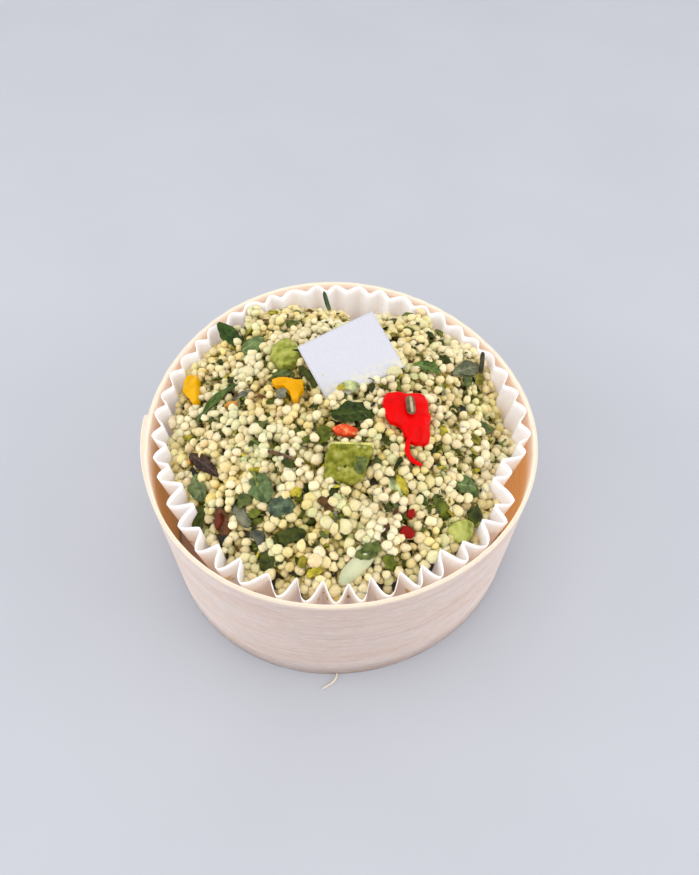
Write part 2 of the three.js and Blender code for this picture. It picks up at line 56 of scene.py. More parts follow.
# box, liner and heap, as the frame has them
BOX_RADIUS = 55 * MM
BOX_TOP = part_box("box_wall")[1].z
VENEER = 1.3 * MM
LOBES = ((2, -0.0145, -0.002), (3, 0.0116, -0.0097))  # count, cosine share, sine share
LAP_STEP = 1.05 * MM  # how far the outer layer stands proud at its end
LAP_FADE = 32  # the angle over which it runs back into the round
LAP_CLEFT = 0.4  # the angle between the band's two ends
EDGE_BAND = 0.2 * MM  # height of the pale cut edge below the rounding of the rim
WARMTH_START = 0.8 * MM  # below the rim, where the inner face's painted warm light starts
WARMTH_DEPTH = 13 * MM  # over which its painted warm light grows to full
GLOW_DEPTH = 16 * MM  # this far below the rim the inner face's painted glow has stopped changing
GLOW = 0.36  # painted glow of the inner face at the rim
GLOW_LOST = 0.18  # of it lower down on the shady side
GLOW_WON = 0.35  # lower down on the sunny side, over the shady one

PLEATS = 44
PLEAT_START = 2.25  # the turn of the fold that the others are counted from
PLEAT_CROWDING = 3  # the angle by which the folds at the sides are moved towards the back
SQUEEZED_IN = (-103, -48)  # one more pleat is squeezed in between these angles
LINER_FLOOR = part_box("paper_liner")[0].z
LINER_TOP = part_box("paper_liner")[1].z
LINER_TAPER = 6 * MM  # how much narrower the liner is at its floor
LINER_GAP = 0.4 * MM  # between the outward folds and the wall
PLEAT_DEPTH_BACK = 2.6 * MM
PLEAT_DEPTH_FRONT = 5.6 * MM
DEEPENING_STARTS = 0.1  # sine of the angle
DEEPENING_ENDS = -0.6
PLEAT_DEPTH_AT_FLOOR = 0.35  # as a share of the depth at the top
PULLED_IN = ((-149, 16, 1.9 * MM), (-19, 6, 4.5 * MM))  # angle, spread, size
PAPER_RADIAL = 0.7 * MM  # left along the radius for the paper, outside the heap's edge
HEAP_CLEAR = 0.45 * MM  # between the paper and the heap
TIP_POWER = 1.7  # above 1 the liner's inner tips are narrower than its outward folds
TOP_WANDER = 0.3 * MM  # how far the liner's top edge rises and falls
PAPER_FLOOR = 0.3 * MM  # thickness of the liner's floor
WALL_WARMTH = 9 * MM  # below the liner's top, over which painted warm light from the wood grows in the folds
OIL_REACH = 1.5 * MM  # how far oil climbs the paper from the heap's edge
OIL_FADE = 4 * MM  # over which it grows to its full strength

CROWN = 56 * MM
EDGE_LEVEL = 44.5 * MM
DOME_POWER = 2.4
EDGE_DROP = 0.55 * MM  # below the heap's edge, where the liner's inner tips set its radius
SWELLS = (  # rises and dips of the heap's edge: angle, spread, size
    (-90, 40, 1 * MM),
    (10, 10, -4 * MM),
    (34, 7, 4 * MM),
    (60, 9, 3.5 * MM),
    (84, 9, -5.5 * MM),
    (125, 8, 4.5 * MM),
    (160, 12, 1.5 * MM),
)
SLOPE_STEP = 3 * MM  # to either side, between the heights that give the heap's slope
CLUMP = 9 * MM  # width of a clump of grains
CORE_OVERLAP = 0.6 * MM  # how far the core reaches up into the layers of grains
CORE_CLEAR = 0.6 * MM  # from the core's side to the heap's edge
CORE_FLOOR = 0.8 * MM  # from the liner's floor to the core's
CORE_BUMPS = 0.5 * MM

HOLLOWS = 110  # gaps between clumps of grains, where the core's painted shade shows
HOLLOW_RADII = (0.9, 1.8)  # in mm
HOLLOW_DEPTH = 0.9 * MM  # of their middles
HOLLOW_CLEAR = 3 * MM  # from their middles to the heap's edge
GRAIN_SPREAD = 0.13  # of the logarithm of the grains' radii
GRAIN_LIMITS = (0.65, 1.25)  # of a grain's radius, as shares of the mean
GRAIN_CONTACT = 0.76  # distance of two touching grains, as a share of the sum of their radii
PUSH_BY_GRAIN = 0.42  # share of an overlap by which a grain gives way to another in each round
PUSH_BY_BALL = 0.8  # and to a fixed ball
PAIR_REACH = 3.2  # grains closer than this many mean radii may come to touch
SURFACE_PLAY = 0.8 * MM  # how far a grain may stand over the heap's surface
GRAIN_RISE = 0.3 * MM  # spread of the grains' heights within a clump
GRAIN_LUMPS = 0.11  # size of each wave on a grain, as a share of its radius
GOLDEN_PATCH = 26 * MM  # width of the patches of golden grains
GREENISH_PATCH = 18 * MM
TOASTED = 0.95  # a grain is toasted if its draw from 0 to 1 is above this
DEEP_SHADE = (0.7, 0.66, 0.42)  # painted shade: what is left of a grain's colour in the lower layers
SHADE_START = 0.5 * MM  # above the heap's mean height
SHADE_DEPTH = 3.5 * MM  # over which the shade grows

COVER_SIZES = ("length", "width", "arch", "fold", "thick")
ON_TOP = (0.38, 1.1)  # squares of the way out on a leaf, between which a grain may lie on it

FLAKE_LENGTH = 2.1  # in mm, of the median small flake
FLAKE_SPREAD = 0.42  # of the logarithm of their lengths
FLAKE_LIMITS = (1.0, 5.2)  # in mm
FLAKE_SHAPES = (0.22, 0.62)  # their widths as shares of their lengths
FLAKE_LEVELS = (-1.9, 0.2)  # in mm from the surface of the clumps
FLAKE_THICKNESS = 0.28 * MM
BIT_THICKNESS = 0.35 * MM
LEAF_THICKNESS = 0.4 * MM
LEAF_SINK = 0.3 * MM  # how far grains close over the borders of the leaves

CARD_SIZE = (24.2 * MM, 19 * MM)
CARD_CENTRE = (2.9 * MM, 15.7 * MM, 58.7 * MM)
CARD_TILT = (20.3, -8.3, 28.5)  # about X, Y and Z
CARD_ROOM = (13 * MM, 10.4 * MM, 1.4 * MM)  # about its centre, free of flakes
CARD_BURIED = 1.9 * MM  # the strip along its lower edge that stands in the salad

SEED_SPACING = 3.4 * MM  # of the seeds in the tomato
LAMP_SIZE = 0.6
LAMPS = (  # name, place, strength as a share of the first one's
    ("above", (0, 0, 0.85), 1),
    ("front_left", (-0.45, -0.45, 0.6), 0.7),
    ("left", (-0.8, -0.1, 0.36), 1.7),
    ("right", (0.8, -0.1, 0.36), 2),
)
CAMERA_PLACE = (2.98 * MM, -117.73 * MM, 206.23 * MM)
CAMERA_DOWN = 54.46  # the angle by which it looks down
CAMERA_ROLL = 1.27

# Colours of the chopped herbs, and their shares among the small flakes.
HERB_COLOURS = {
    "deep green": "#38400f",
    "green": "#565f18",
    "olive": "#7c7420",
    "lime": "#a59a2f",
    "blue green": "#566232",
    "pale green": "#a3ac80",
    "grey": "#67695a",
    "slate": "#4a4c44",
    "brown": "#5c3f1e",
    "black": "#24221a",
    "orange": "#d08a3c",
}
HERB_SHARES = (0.27, 0.3, 0.16, 0.08, 0.07, 0.02, 0.02, 0, 0.04, 0.04, 0)

# Leaves: node, x and y in mm, heading, lift in mm, then the mm of length, width, arch, fold and
# ripple, how blunt, the pitch in degrees, and the colours of the face and of its veins.
LEAVES = (
    ("mint_leaf_middle", 3.8, -2.5, 4, 0.9, 12, 6.7, 0.9, 0.8, 0.3, 2, 0, "#2a380c", "#55662c"),
    ("mint_leaf_back", -26.9, 26.2, 28, 1.2, 7.8, 7, 1, -0.6, 0.1, 3, 0, "#566b3e", "#7f9168"),
    ("mint_leaf_left", -37.4, -20.8, -66, 0.8, 8.8, 5, 0.8, 0.6, 0.1, 2, 0, "#586541", "#858f6c"),
    ("purple_leaf_left", -36.4, -14.6, -40, 0.66, 12.2, 3.9, 0.8, 0.8, 0.3, 1.5, 0, "#3a2820",
     "#7c6a66"),
    ("purple_leaf_front", -29.4, -31.4, -74, 0.6, 8.6, 3.8, 0.6, 0, 0.3, 2, 0, "#5c3a22", "#7c5a3c"),
    ("green_strip_left", -34.8, 5, 44, 0.66, 16.4, 2.5, 0.9, 0.4, 0.35, 4, 0, "#435a24", "#7f8e52"),
    ("dark_leaf_back_left", -34.4, 32.6, -54, 1.6, 11, 5.2, -0.3, 0.5, 0.1, 1.2, 42, "#2c4410",
     "#486020"),
    ("lobed_leaf_front", -19.4, -24, -66, 0.9, 8.6, 6.2, 1, 0.7, 0.2, 2, 0, "#556740", "#768a64"),
    ("lobed_leaf_front_tip", -14, -29.6, -4, 0.9, 7.2, 5.2, 0.9, 0.6, 0.1, 2, 0, "#485844", "#738272"),
    ("olive_leaf_right", 37.8, 20.2, 33, 1.02, 12.4, 4.4, 1.1, 0.8, 0.35, 1.7, 0, "#565c46", "#a3a58e"),
    ("green_leaf_right", 25, 16.4, -10, 0.72, 8.4, 4, 0.6, 0.7, 0.1, 2, 0, "#4a6426", "#b4c08c"),
    ("leaf_right_low", 35, -19.8, 8, 0.6, 7.8, 6, 0.9, -0.5, 0.25, 2, 0, "#4f6234", "#8e9c74"),
)

# Small herbs: x and y in mm, heading, mm of length and width, lift in mm and colour.
HERB_BITS = (
    (-24.5, 36.8, 5, 4.2, 1.2, 0.7, "brown"),
    (-21.9, 43.2, 70, 4.2, 2.8, 0.9, "lime"),
    (-15.3, 36.8, 80, 5.6, 3.8, 0.6, "green"),
    (-10.6, 46.5, 10, 3.2, 1.8, 0.9, "brown"),
    (-16.3, 12.4, 0, 6.6, 2.8, 0.7, "blue green"),
    (-19.4, 10.6, 20, 2.6, 1.6, 0.4, "brown"),
    (-15.8, 3, 60, 3.8, 3.2, 2.6, "grey"),
    (-27.1, 5.5, 36, 6.2, 1.8, 0.9, "grey"),
    (-22.1, 3.7, 0, 3.4, 1.1, 0.8, "brown"),
    (-9.2, 11, -62, 10.4, 2.6, 0.9, "deep green"),
    (20.5, 43.5, 30, 4, 2.8, 1.6, "green"),
    (15.8, 41.2, -20, 2.8, 2, 0.9, "deep green"),
    (20.5, 34.1, 10, 3.8, 2.2, 0.8, "green"),
    (15.7, 30.5, 60, 2.8, 1.8, 0.7, "olive"),
    (27.4, 33.3, 20, 3.6, 2.8, 0.9, "deep green"),
    (30.2, 36.4, -40, 3.4, 2.4, 0.9, "green"),
    (35.3, 5.9, 70, 3.2, 2, 0.5, "black"),
    (37.4, 16.6, 80, 4.8, 3.4, 0.9, "blue green"),
    (41.6, 18.6, 40, 4.4, 3.4, 1.2, "olive"),
    (30.8, 21.2, -30, 6, 3, 0.4, "deep green"),
    (2.8, 7.7, 30, 5, 4.2, 0.9, "pale green"),
    (0.4, 5.8, 10, 2.6, 2, 1.1, "lime"),
    (42, 1.2, 60, 6.6, 4.4, 0.9, "blue green"),
    (38.1, -5.1, 20, 4.2, 3, 0.7, "olive"),
    (15, -23.8, -62, 6.8, 2.8, 0.4, "pale green"),
    (16.8, -22.6, -56, 6, 2.4, 0.6, "lime"),
    (27, -26.6, -78, 7, 3.6, 0.5, "green"),
    (36.4, -27.2, 30, 5, 4.2, 0.8, "deep green"),
    (-41, -13, 80, 2.2, 1.3, 0.4, "orange"),
    (-36, -29, 80, 7.2, 3.6, 0.5, "deep green"),
    (-29.2, -35.2, 80, 4.8, 2.2, 0.1, "black"),
    (-24.4, -30.6, -60, 7.6, 3.4, 0.5, "grey"),
    (-20.8, -30.6, 30, 3.4, 2.4, 0.7, "green"),
    (-23.6, -27, 10, 4.6, 3.8, 0.5, "blue green"),
    (-19.6, -36.4, -40, 4.8, 3.2, 0.6, "slate"),
    (-11.3, -36.3, 5, 8, 3.8, 0.6, "deep green"),
    (-10.6, -25.6, 30, 3.8, 3, 0.7, "lime"),
    (-4.3, -9.6, 45, 6.6, 4.4, 0.7, "green"),
    (8.4, -40, 38, 7.4, 3.6, 1.7, "blue green"),
    (-8.1, -42.6, 50, 3, 2.4, 1, "olive"),
    (-4.8, -44.8, 30, 4.6, 2.2, 0.9, "lime"),
    (13.8, -42, -30, 4.6, 3.2, 0.8, "green"),
    (-17.1, -42, 70, 5, 3.8, 0.6, "deep green"),
    (5.8, -19, 84, 6, 3.2, 2.3, "blue green"),
    (2.8, -20, 70, 3.8, 2, 1.9, "deep green"),
    (-2.8, -29, -50, 5, 2.6, 0.7, "brown"),
    (-20.7, -5.9, 70, 4.8, 2.8, 0.7, "blue green"),
)

RED_SKIN = "#e00000"

# Cut pieces: node, x and y in mm, lift, thickness and arch in mm, slot, colour, and the corners of
# the outline as (degrees, mm from the middle).
CUT_PIECES = (
    (
        "yellow_pepper_left", -43, 10.6, 0.7, 3, 0.4, "yellow_pepper", "#e3a800",
        ((-170, 2.5), (-92, 3.4), (-76, 6.2), (-60, 6.4), (-10, 2.7), (74, 5.5), (108, 6.3),
         (135, 4.6)),
    ),
    (
        "yellow_pepper_middle", -12.9, 6.4, 0.9, 2.6, 0.3, "yellow_pepper", "#e09f00",
        ((-176, 4.8), (-161, 2.6), (-105, 3), (-90, 5.5), (-74, 5.5), (-53, 3.4), (-23, 3.2), (33, 3.1),
         (103, 2.4), (144, 5), (160, 7.2)),
    ),
    (
        "green_tomato_middle", 2.5, -17.9, 0.3, 3, 0.4, "green_tomato", "#858427",
        ((-142, 7.6), (-107, 5.8), (-70, 6.2), (-44, 6.2), (15, 6), (34, 8.6), (80, 5), (136, 6.9),
         (178, 5.8)),
    ),
    (
        "green_tomato_back", -16.2, 19.6, 0.7, 3.2, 0.9, "green_tomato", "#9da045",
        ((-164, 4.5), (-113, 5.2), (-70, 5.9), (-34, 5.2), (10, 4.7), (51, 5), (85, 5.5),
         (111, 5.5), (146, 5.1)),
    ),
    (
        "green_tomato_right", 32.2, -32, 0.3, 3, 0.4, "green_tomato", "#adb058",
        ((-146, 4.2), (-109, 3.5), (-52, 3.1), (-2, 3.1), (37, 4.3), (75, 3.3), (130, 2.8), (175, 3.8)),
    ),
    (
        "carrot_bit", 1.7, -8.4, 0.4, 1.8, 0.3, "carrot", "#dc4c26",
        ((-158, 2.6), (-70, 1.7), (-24, 3.3), (10, 3.6), (46, 2), (136, 2.4), (168, 3.6)),
    ),
    (
        "red_pepper", 19.1, -2.4, 1.6, 2.4, 1.3, "red_pepper", RED_SKIN,
        ((-178, 6.9), (-149, 5.9), (-119, 4.9), (-99, 7.2), (-82, 9.4), (-58, 9.9), (-2, 5.8),
         (38, 6.9), (62, 8.9), (84, 7.6), (105, 6.8), (116, 8), (134, 9.4), (153, 8)),
    ),
)

# Small bits of vegetable among the grains, laid out as CUT_PIECES are, without node and slot.
VEGETABLE_BITS = (
    (
        18, -34.2, -0.2, 2, 0.2, "#8c140c",
        ((-165, 2.2), (-110, 1.5), (-55, 2), (-10, 2.3), (50, 1.4), (125, 2)),
    ),
    (19, -29.6, -0.2, 1.8, 0.2, "#98160e", ((-150, 1.3), (-80, 1.6), (-10, 1.1), (60, 1.5), (140, 1))),
    (-30, -31.4, 0.7, 1.8, 0.2, "#672a18", ((-100, 2.6), (-20, 1.4), (80, 2.4), (170, 1.5))),
    (-30.2, 2.2, 0.5, 1.6, 0.2, "#c4893c", ((-170, 2.2), (-80, 1), (10, 2.3), (100, 0.9))),
)

# Stalks and narrow strips: the control points of the curve, width and thickness in mm, and colour.
HERB_STRIPS = (
    (((-6.4, 50.4, 51), (-5.6, 50, 48.6), (-5.2, 48.6, 46.8), (-4.2, 46, 46.8)), 1.5, 0.4, "#41533a"),
    (((-18.6, -14.6, 54.9), (-13.7, -15.8, 55.5), (-8.4, -18.8, 55.3)), 1.1, 0.8, "#66503f"),
    (((-2.4, -12.9, 56.6), (3.7, -12.6, 57), (9.8, -12.9, 56.4)), 0.9, 0.6, "#b6b56c"),
    (((42.1, 24.9, 52), (42, 23, 50.8), (41.6, 20, 50), (41.2, 18.6, 49.4)), 1.4, 0.4, "#3f3a2c"),
    (((-22.6, -20.2, 54), (-20.4, -22, 54.2), (-20.2, -24.8, 53.6)), 0.8, 0.5, "#6f7a3c"),
    (((19, 2.2, 58.4), (19.2, -0.9, 58.6), (19.4, -4, 58.3)), 2.5, 0.5, "#6c5b48"),
    (((19.2, 1.9, 58.7), (19.4, -0.9, 59), (19.6, -3.6, 58.6)), 0.8, 0.3, "#9c907a"),
)

# The same without colour, for the red pepper's curl and the fibre of wood at the foot of the band.
RED_CURL = (((20.6, -8, 55.3), (17, -11, 55.6), (17.3, -16.8, 55), (22.2, -17.3, 54)), 1.4, 1.1)
FRAYED_FIBRE = (((0.9, -54.7, 0.5), (0.9, -57.9, 0.5), (-1, -58, 0.4), (-3.4, -59.8, 0.4)), 0.6, 0.5)

# The strip of onion: x and y in mm, heading, lift in mm and colour. The sizes of its sheet are in mm.
ONION_STRIP = (5.8, -43, 50, 0.7, "#c9cba6")
ONION_SHEET = {"length": 12.8, "width": 4.4, "thick": 1.3, "arch": 0.5, "fold": -0.6, "ripple": 0}

# ------------------------------------------------------------------ settings


def linear(hex_text):
    """Linear RGBA of an sRGB hex value."""
    part = np.array([int(hex_text[i : i + 2], 16) for i in (1, 3, 5)]) / 255
    light = np.where(part <= 0.04045, part / 12.92, ((part + 0.055) / 1.055) ** 2.4)
    return (*map(float, light), 1.0)


def tint(name, value, text):
    """A colour property with its default given as an sRGB hex value."""
    return bpy.props.FloatVectorProperty(
        name=name, description=text, default=linear(value)[:3], subtype="COLOR", size=3, min=0, max=1
    )


def length(name, value, text):
    """A length property in metres."""
    return bpy.props.FloatProperty(name=name, description=text, default=value, unit="LENGTH", min=0)


def share(name, value, text):
    """A number property from 0 to 1."""
    return bpy.props.FloatProperty(
        name=name, description=text, default=value, subtype="FACTOR", min=0, max=1
    )


def count(name, value, text):
    """A whole number property."""
    return bpy.props.IntProperty(name=name, description=text, default=value, min=0)


def power(name, value, text):
    """A property for the strength of a light."""
    return bpy.props.FloatProperty(name=name, description=text, default=value, unit="POWER", min=0)


class BoxSettings(bpy.types.PropertyGroup):
    """Veneer box and paper liner."""

    wood: tint("Wood", "#dfd1ca", "Outer face of the poplar veneer")
    # The inner face's colours are painted light: lighter near the rim, warm orange lower down, as light
    # comes warm through and off the wood.
    wood_inside: tint("Wood inside", "#f6e8d6", "Inner face of the veneer near the rim")
    wood_deep: tint("Wood deep inside", "#deae72", "Inner face further down, where light is warm")
    veneer: length("Veneer", 1.05 * MM, "Thickness of the veneer as the rim shows it")
    rim_rounding: length("Rim rounding", 0.3 * MM, "Softening of the rim's edges")
    rim_wobble: length("Rim wobble", 0.16 * MM, "How far the cut edge rises and falls")
    paper: tint("Paper", "#eff0f4", "Greaseproof paper of the liner")
    paper_thickness: length("Paper thickness", 0.2 * MM, "Thickness along the radius")
    paper_rise: length("Paper rise", 0.85 * MM, "How far the pleats stand over the line of the cut")
    pleat_rounding: share("Pleat rounding", 0.56, "From sharp folds to soft waves")
    pleat_wander: share("Pleat wander", 0.2, "How much the pleats differ in depth")


class SaladSettings(bpy.types.PropertyGroup):
    """Couscous and chopped herbs."""

    seed: count("Seed", 41, "Sets every random draw of the salad")
    grains: count("Grains", 4200, "Couscous grains in the visible layers")
    grain: length("Grain", 2.75 * MM, "Mean diameter of a grain")
    layer: length("Layer", 3.8 * MM, "Depth of the layers of grains over the core")
    clumps: length("Clumps", 1.0 * MM, "How far clumps of grains rise and fall")
    cream: tint("Cream", "#f5e6c4", "Main colour of the grains")
    golden: tint("Golden", "#f0d993", "Oily grains")
    greenish: tint("Greenish", "#d6dbaa", "Grains stained by the herbs")
    tan: tint("Tan", "#e4caa4", "Toasted grains")
    flakes: count("Herb flakes", 1350, "Small flakes of chopped mint and parsley")


class StageSettings(bpy.types.PropertyGroup):
    """Camera, lights and floor."""

    lens: bpy.props.FloatProperty(
        name="Lens", description="Focal length", default=28.8, unit="CAMERA", min=1
    )
    floor: tint("Floor", "#bcbec4", "Plain pale floor")
    lamps: power("Lamps", 1.26, "Strength of the lamp above, of which the others have their shares")
    sky: share("Sky", 0.98, "Strength of the even light from all round")


# ------------------------------------------------------------------ forms


def smooth_step(t):
    """Smooth rise from 0 to 1 as t does: 3t^2 - 2t^3."""
    s = np.clip(t, 0, 1)
    return s * s * (3 - 2 * s)


def from_middle(radius, degrees):
    """X and Y of places at these distances from the middle and at these angles."""
    turn = np.radians(degrees)
    return radius * np.cos(turn), radius * np.sin(turn)


def bell(degrees, at, spread):
    """Bell curve round the circle, 1 at its middle."""
    away = (degrees - at + 180) % 360 - 180
    return np.exp(-0.5 * (away / spread) ** 2)


def sum_of_bells(degrees, bells):
    """Sum of the bell curves (angle, spread, size)."""
    return sum(size * bell(degrees, at, spread) for at, spread, size in bells)


def band_radius(degrees):
    """Outer radius of the bent band without its lap: a circle with two and three lobes."""
    turn = np.radians(degrees)
    return BOX_RADIUS * (1 + sum(c * np.cos(n * turn) + s * np.sin(n * turn) for n, c, s in LOBES))


def lap(degrees):
    """How far the band's outer layer stands proud: a step at -X that fades away from it."""
    from_step = (degrees + 180) % 360
    return LAP_STEP * (1 - smooth_step(from_step / LAP_FADE))


def fold_radius(degrees, level):
    """Radius of the liner's outward folds, at a share of its height."""
    at_top = band_radius(degrees) - VENEER - LINER_GAP - sum_of_bells(degrees, PULLED_IN)
    return at_top - LINER_TAPER * (1 - level)


def pleat_depth(degrees, level):
    """Depth of the pleats: deeper at the front, and less towards the floor."""
    forward = DEEPENING_STARTS - np.sin(np.radians(degrees))
    frontness = smooth_step(forward / (DEEPENING_STARTS - DEEPENING_ENDS))
    at_top = PLEAT_DEPTH_BACK + (PLEAT_DEPTH_FRONT - PLEAT_DEPTH_BACK) * frontness
    return at_top * (PLEAT_DEPTH_AT_FLOOR + (1 - PLEAT_DEPTH_AT_FLOOR) * level)


def pleat_phase(degrees):
    """Number of pleats from the start to this angle. The fold at turn t stands at the angle
    t + crowding * cos(t), which three steps undo."""
    turn = degrees
    for _ in range(3):
        turn = degrees - PLEAT_CROWDING * np.cos(np.radians(turn))
    from_angle, to_angle = SQUEEZED_IN
    squeezed = np.clip((degrees - from_angle) / (to_angle - from_angle), 0, 1)
    return (turn - PLEAT_START) * PLEATS / 360 + squeezed


def edge_height(degrees):
    """Height of the heap's edge."""
    return EDGE_LEVEL + sum_of_bells(degrees, SWELLS)


def heap_edge(degrees):
    """Radius of the heap's upper edge, inside the pleats' inner tips."""
    level = np.minimum((edge_height(degrees) - EDGE_DROP - LINER_FLOOR) / (LINER_TOP - LINER_FLOOR), 1)
    return fold_radius(degrees, level) - pleat_depth(degrees, level) - PAPER_RADIAL - HEAP_CLEAR


def heap_height(x, y):
    """Height of the heap: its crown, less the drop to the edge times the share of the way out to
    the power DOME_POWER."""
    degrees = np.degrees(np.arctan2(y, x))
    reach = np.hypot(x, y) / heap_edge(degrees)
    return CROWN + (edge_height(degrees) - CROWN) * reach**DOME_POWER


def scatter(rng, total, reach):
    """Seeded places, spread evenly from the middle out to reach, a function of the angle."""
    degrees = rng.uniform(-180, 180, total)
    return from_middle(np.sqrt(rng.random(total)) * reach(degrees), degrees)


def turn_about(axis, angle):
    """Rotations (n, 3, 3) about X, Y or Z, given as 0, 1 or 2, by angles in radians."""
    angle = np.atleast_1d(angle)
    turns = np.zeros((len(angle), 3, 3))
    one, two = (axis + 1) % 3, (axis + 2) % 3
    turns[:, axis, axis] = 1
    turns[:, one, one] = turns[:, two, two] = np.cos(angle)
    turns[:, one, two] = -np.sin(angle)
    turns[:, two, one] = np.sin(angle)
    return turns


def heap_frames(x, y, heading):
    """Rotations (n, 3, 3) that turn a piece by its heading and then lay it on the heap's slope."""
    up = np.stack(
        [
            heap_height(x - SLOPE_STEP, y) - heap_height(x + SLOPE_STEP, y),
            heap_height(x, y - SLOPE_STEP) - heap_height(x, y + SLOPE_STEP),
            np.full_like(x, 2 * SLOPE_STEP),
        ],
        -1,
    )
    up /= np.linalg.norm(up, axis=1, keepdims=True)
    cross = np.zeros((len(x), 3, 3))
    cross[:, 0, 2], cross[:, 1, 2] = up[:, 0], up[:, 1]
    cross[:, 2, 0], cross[:, 2, 1] = -up[:, 0], -up[:, 1]
    lean = np.eye(3) + cross + cross @ cross / (1 + up[:, 2])[:, None, None]
    return lean @ turn_about(2, np.radians(heading))


def waves(x, y, rng, size, terms=7):
    """Smooth unevenness over the heap, about -1 to 1: seeded plane waves about size across."""
    total = 0
    for _ in range(terms):
        heading, phase = rng.uniform(0, 2 * np.pi, 2)
        step = size * rng.uniform(0.7, 1.5)
        total = total + np.sin((x * np.cos(heading) + y * np.sin(heading)) * 2 * np.pi / step + phase)
    return total / np.sqrt(terms)


def ring_waves(degrees, seed, terms=9, slowest=3):
    """Smooth unevenness round the box, about -1 to 1: seeded sines of the angle."""
    rng = np.random.default_rng(seed)
    phases = rng.uniform(0, 2 * np.pi, terms)
    turn = np.radians(degrees)
    total = sum(np.sin(turn * (slowest + 2 * step) + phases[step]) for step in range(terms))
    return total / np.sqrt(terms)


# ------------------------------------------------------------------ meshes


def grid_faces(rows, cols, wrap_rows=False, wrap_cols=False):
    """Quads between neighbouring points of a grid that is numbered row by row."""
    row = np.arange(rows if wrap_rows else rows - 1)[:, None]
    col = np.arange(cols if wrap_cols else cols - 1)[None, :]
    up, on = (row + 1) % rows, (col + 1) % cols
    quads = [row * cols + col, row * cols + on, up * cols + on, up * cols + col]
    return np.stack(quads, -1).reshape(-1, 4)


def fan_faces(ring, centre, flip=False):
    """Triangles from a centre point to a closed ring of points."""
    on = np.roll(ring, -1)
    pair = (on, ring) if flip else (ring, on)
    return np.stack([np.full_like(ring, centre), *pair], -1)


def globe_faces(rows, columns):
    """Faces of a closed shape numbered as rings from its bottom up, then its lowest and its
    highest point."""
    first = np.arange(columns)
    last = first + (rows - 1) * columns
    return [
        grid_faces(rows, columns, wrap_cols=True),
        fan_faces(first, rows * columns, flip=True),
        fan_faces(last, rows * columns + 1),
    ]


def sheet_faces(rows, cols):
    """Faces of a closed sheet: a top grid, a bottom grid turned over, and a band round the edge."""
    top = grid_faces(rows, cols)
    grid = np.arange(rows * cols).reshape(rows, cols)
    rim = np.concatenate([grid[:-1, 0], grid[-1, :-1], grid[:0:-1, -1], grid[0, :0:-1]])
    on = np.roll(rim, -1)
    band = np.stack([rim, on, on + rows * cols, rim + rows * cols], -1)
    return np.concatenate([top[:, ::-1], top + rows * cols, band[:, ::-1]])


def copies_of_faces(faces, times, points_each):
    """The faces of one shape, repeated for each of its copies."""
    return (faces[None] + points_each * np.arange(times)[:, None, None]).reshape(-1, faces.shape[1])


def join(shapes):
    """Several shapes, each its points and its faces, as one."""
    starts = np.cumsum([0] + [len(points) for points, _ in shapes])
    faces = [part + start for start, shape in zip(starts, shapes) for part in shape[1]]
    return np.concatenate([points for points, _ in shapes]), faces


def painted(points, hex_text):
    """The same colour for each of the points."""
    return np.tile(linear(hex_text)[:3], (len(points), 1))


def make_piece(
    name, points, faces, material, slot, replaces=(), smooth=True, uv=None, colour=None, **values
):
    """A mesh object that rides on the body. points is (n, 3); faces is a list of index arrays. uv
    (n, 2), colour (n, 3) and further values (n,) are given point by point."""
    mesh = bpy.data.meshes.new(name)
    corners = np.concatenate([part.ravel() for part in faces]).astype(np.int32)
    sizes = np.concatenate([np.full(len(part), part.shape[1]) for part in faces])
    mesh.vertices.add(len(points))
    mesh.vertices.foreach_set("co", np.ascontiguousarray(points, dtype=np.float32).ravel())
    mesh.loops.add(len(corners))
    mesh.loops.foreach_set("vertex_index", corners)
    mesh.polygons.add(len(sizes))
    mesh.polygons.foreach_set("loop_start", (np.cumsum(sizes) - sizes).astype(np.int32))
    if uv is not None:
        layer = mesh.uv_layers.new(name="UVMap")
        layer.data.foreach_set("uv", uv[corners].astype(np.float32).ravel())
    if colour is not None:
        paint = mesh.attributes.new("colour", "FLOAT_COLOR", "POINT")
        rgba = np.concatenate([colour, np.ones((len(colour), 1))], 1)
        paint.data.foreach_set("color", rgba.astype(np.float32).ravel())
    for key, value in values.items():
        mesh.attributes.new(key, "FLOAT", "POINT").data.foreach_set("value", value.astype(np.float32))
    mesh.update(calc_edges=True)
    if smooth:
        mesh.shade_smooth()
    mesh.materials.append(material)
    piece = bpy.data.objects.new(name, mesh)
    bpy.context.scene.collection.objects.link(piece)
    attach(piece, "root")
    if replaces:
        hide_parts(*replaces)
    return piece


# ------------------------------------------------------------------ materials


def add_node(tree, kind, links=(), **settings):
    """A node with its settings. A setting is a property of the node or, with its spaces as _, an
    input. links are pairs of an input's name or number and the socket that feeds it."""
    node = tree.nodes.new(kind)
    for key, value in settings.items():
        if hasattr(node, key):
            setattr(node, key, value)
        else:
            node.inputs[key.replace("_", " ")].default_value = value
    for place, socket in links:
        tree.links.new(socket, node.inputs[place])
    return node


def new_material(name, **settings):
    """A material with a Principled BSDF, and its node tree and shader."""
    material = bpy.data.materials.new(name)
    material.use_nodes = True
    tree = material.node_tree
    tree.nodes.clear()
    shader = add_node(tree, "ShaderNodeBsdfPrincipled", **settings)
    add_node(tree, "ShaderNodeOutputMaterial", [("Surface", shader.outputs[0])])
    return material, tree, shader


def where_on_object(tree):
    """Object coordinates."""
    return add_node(tree, "ShaderNodeTexCoord").outputs["Object"]


def own_value(tree, name, output="Fac"):
    """A value or colour that the mesh carries."""
    return add_node(tree, "ShaderNodeAttribute", attribute_name=name).outputs[output]


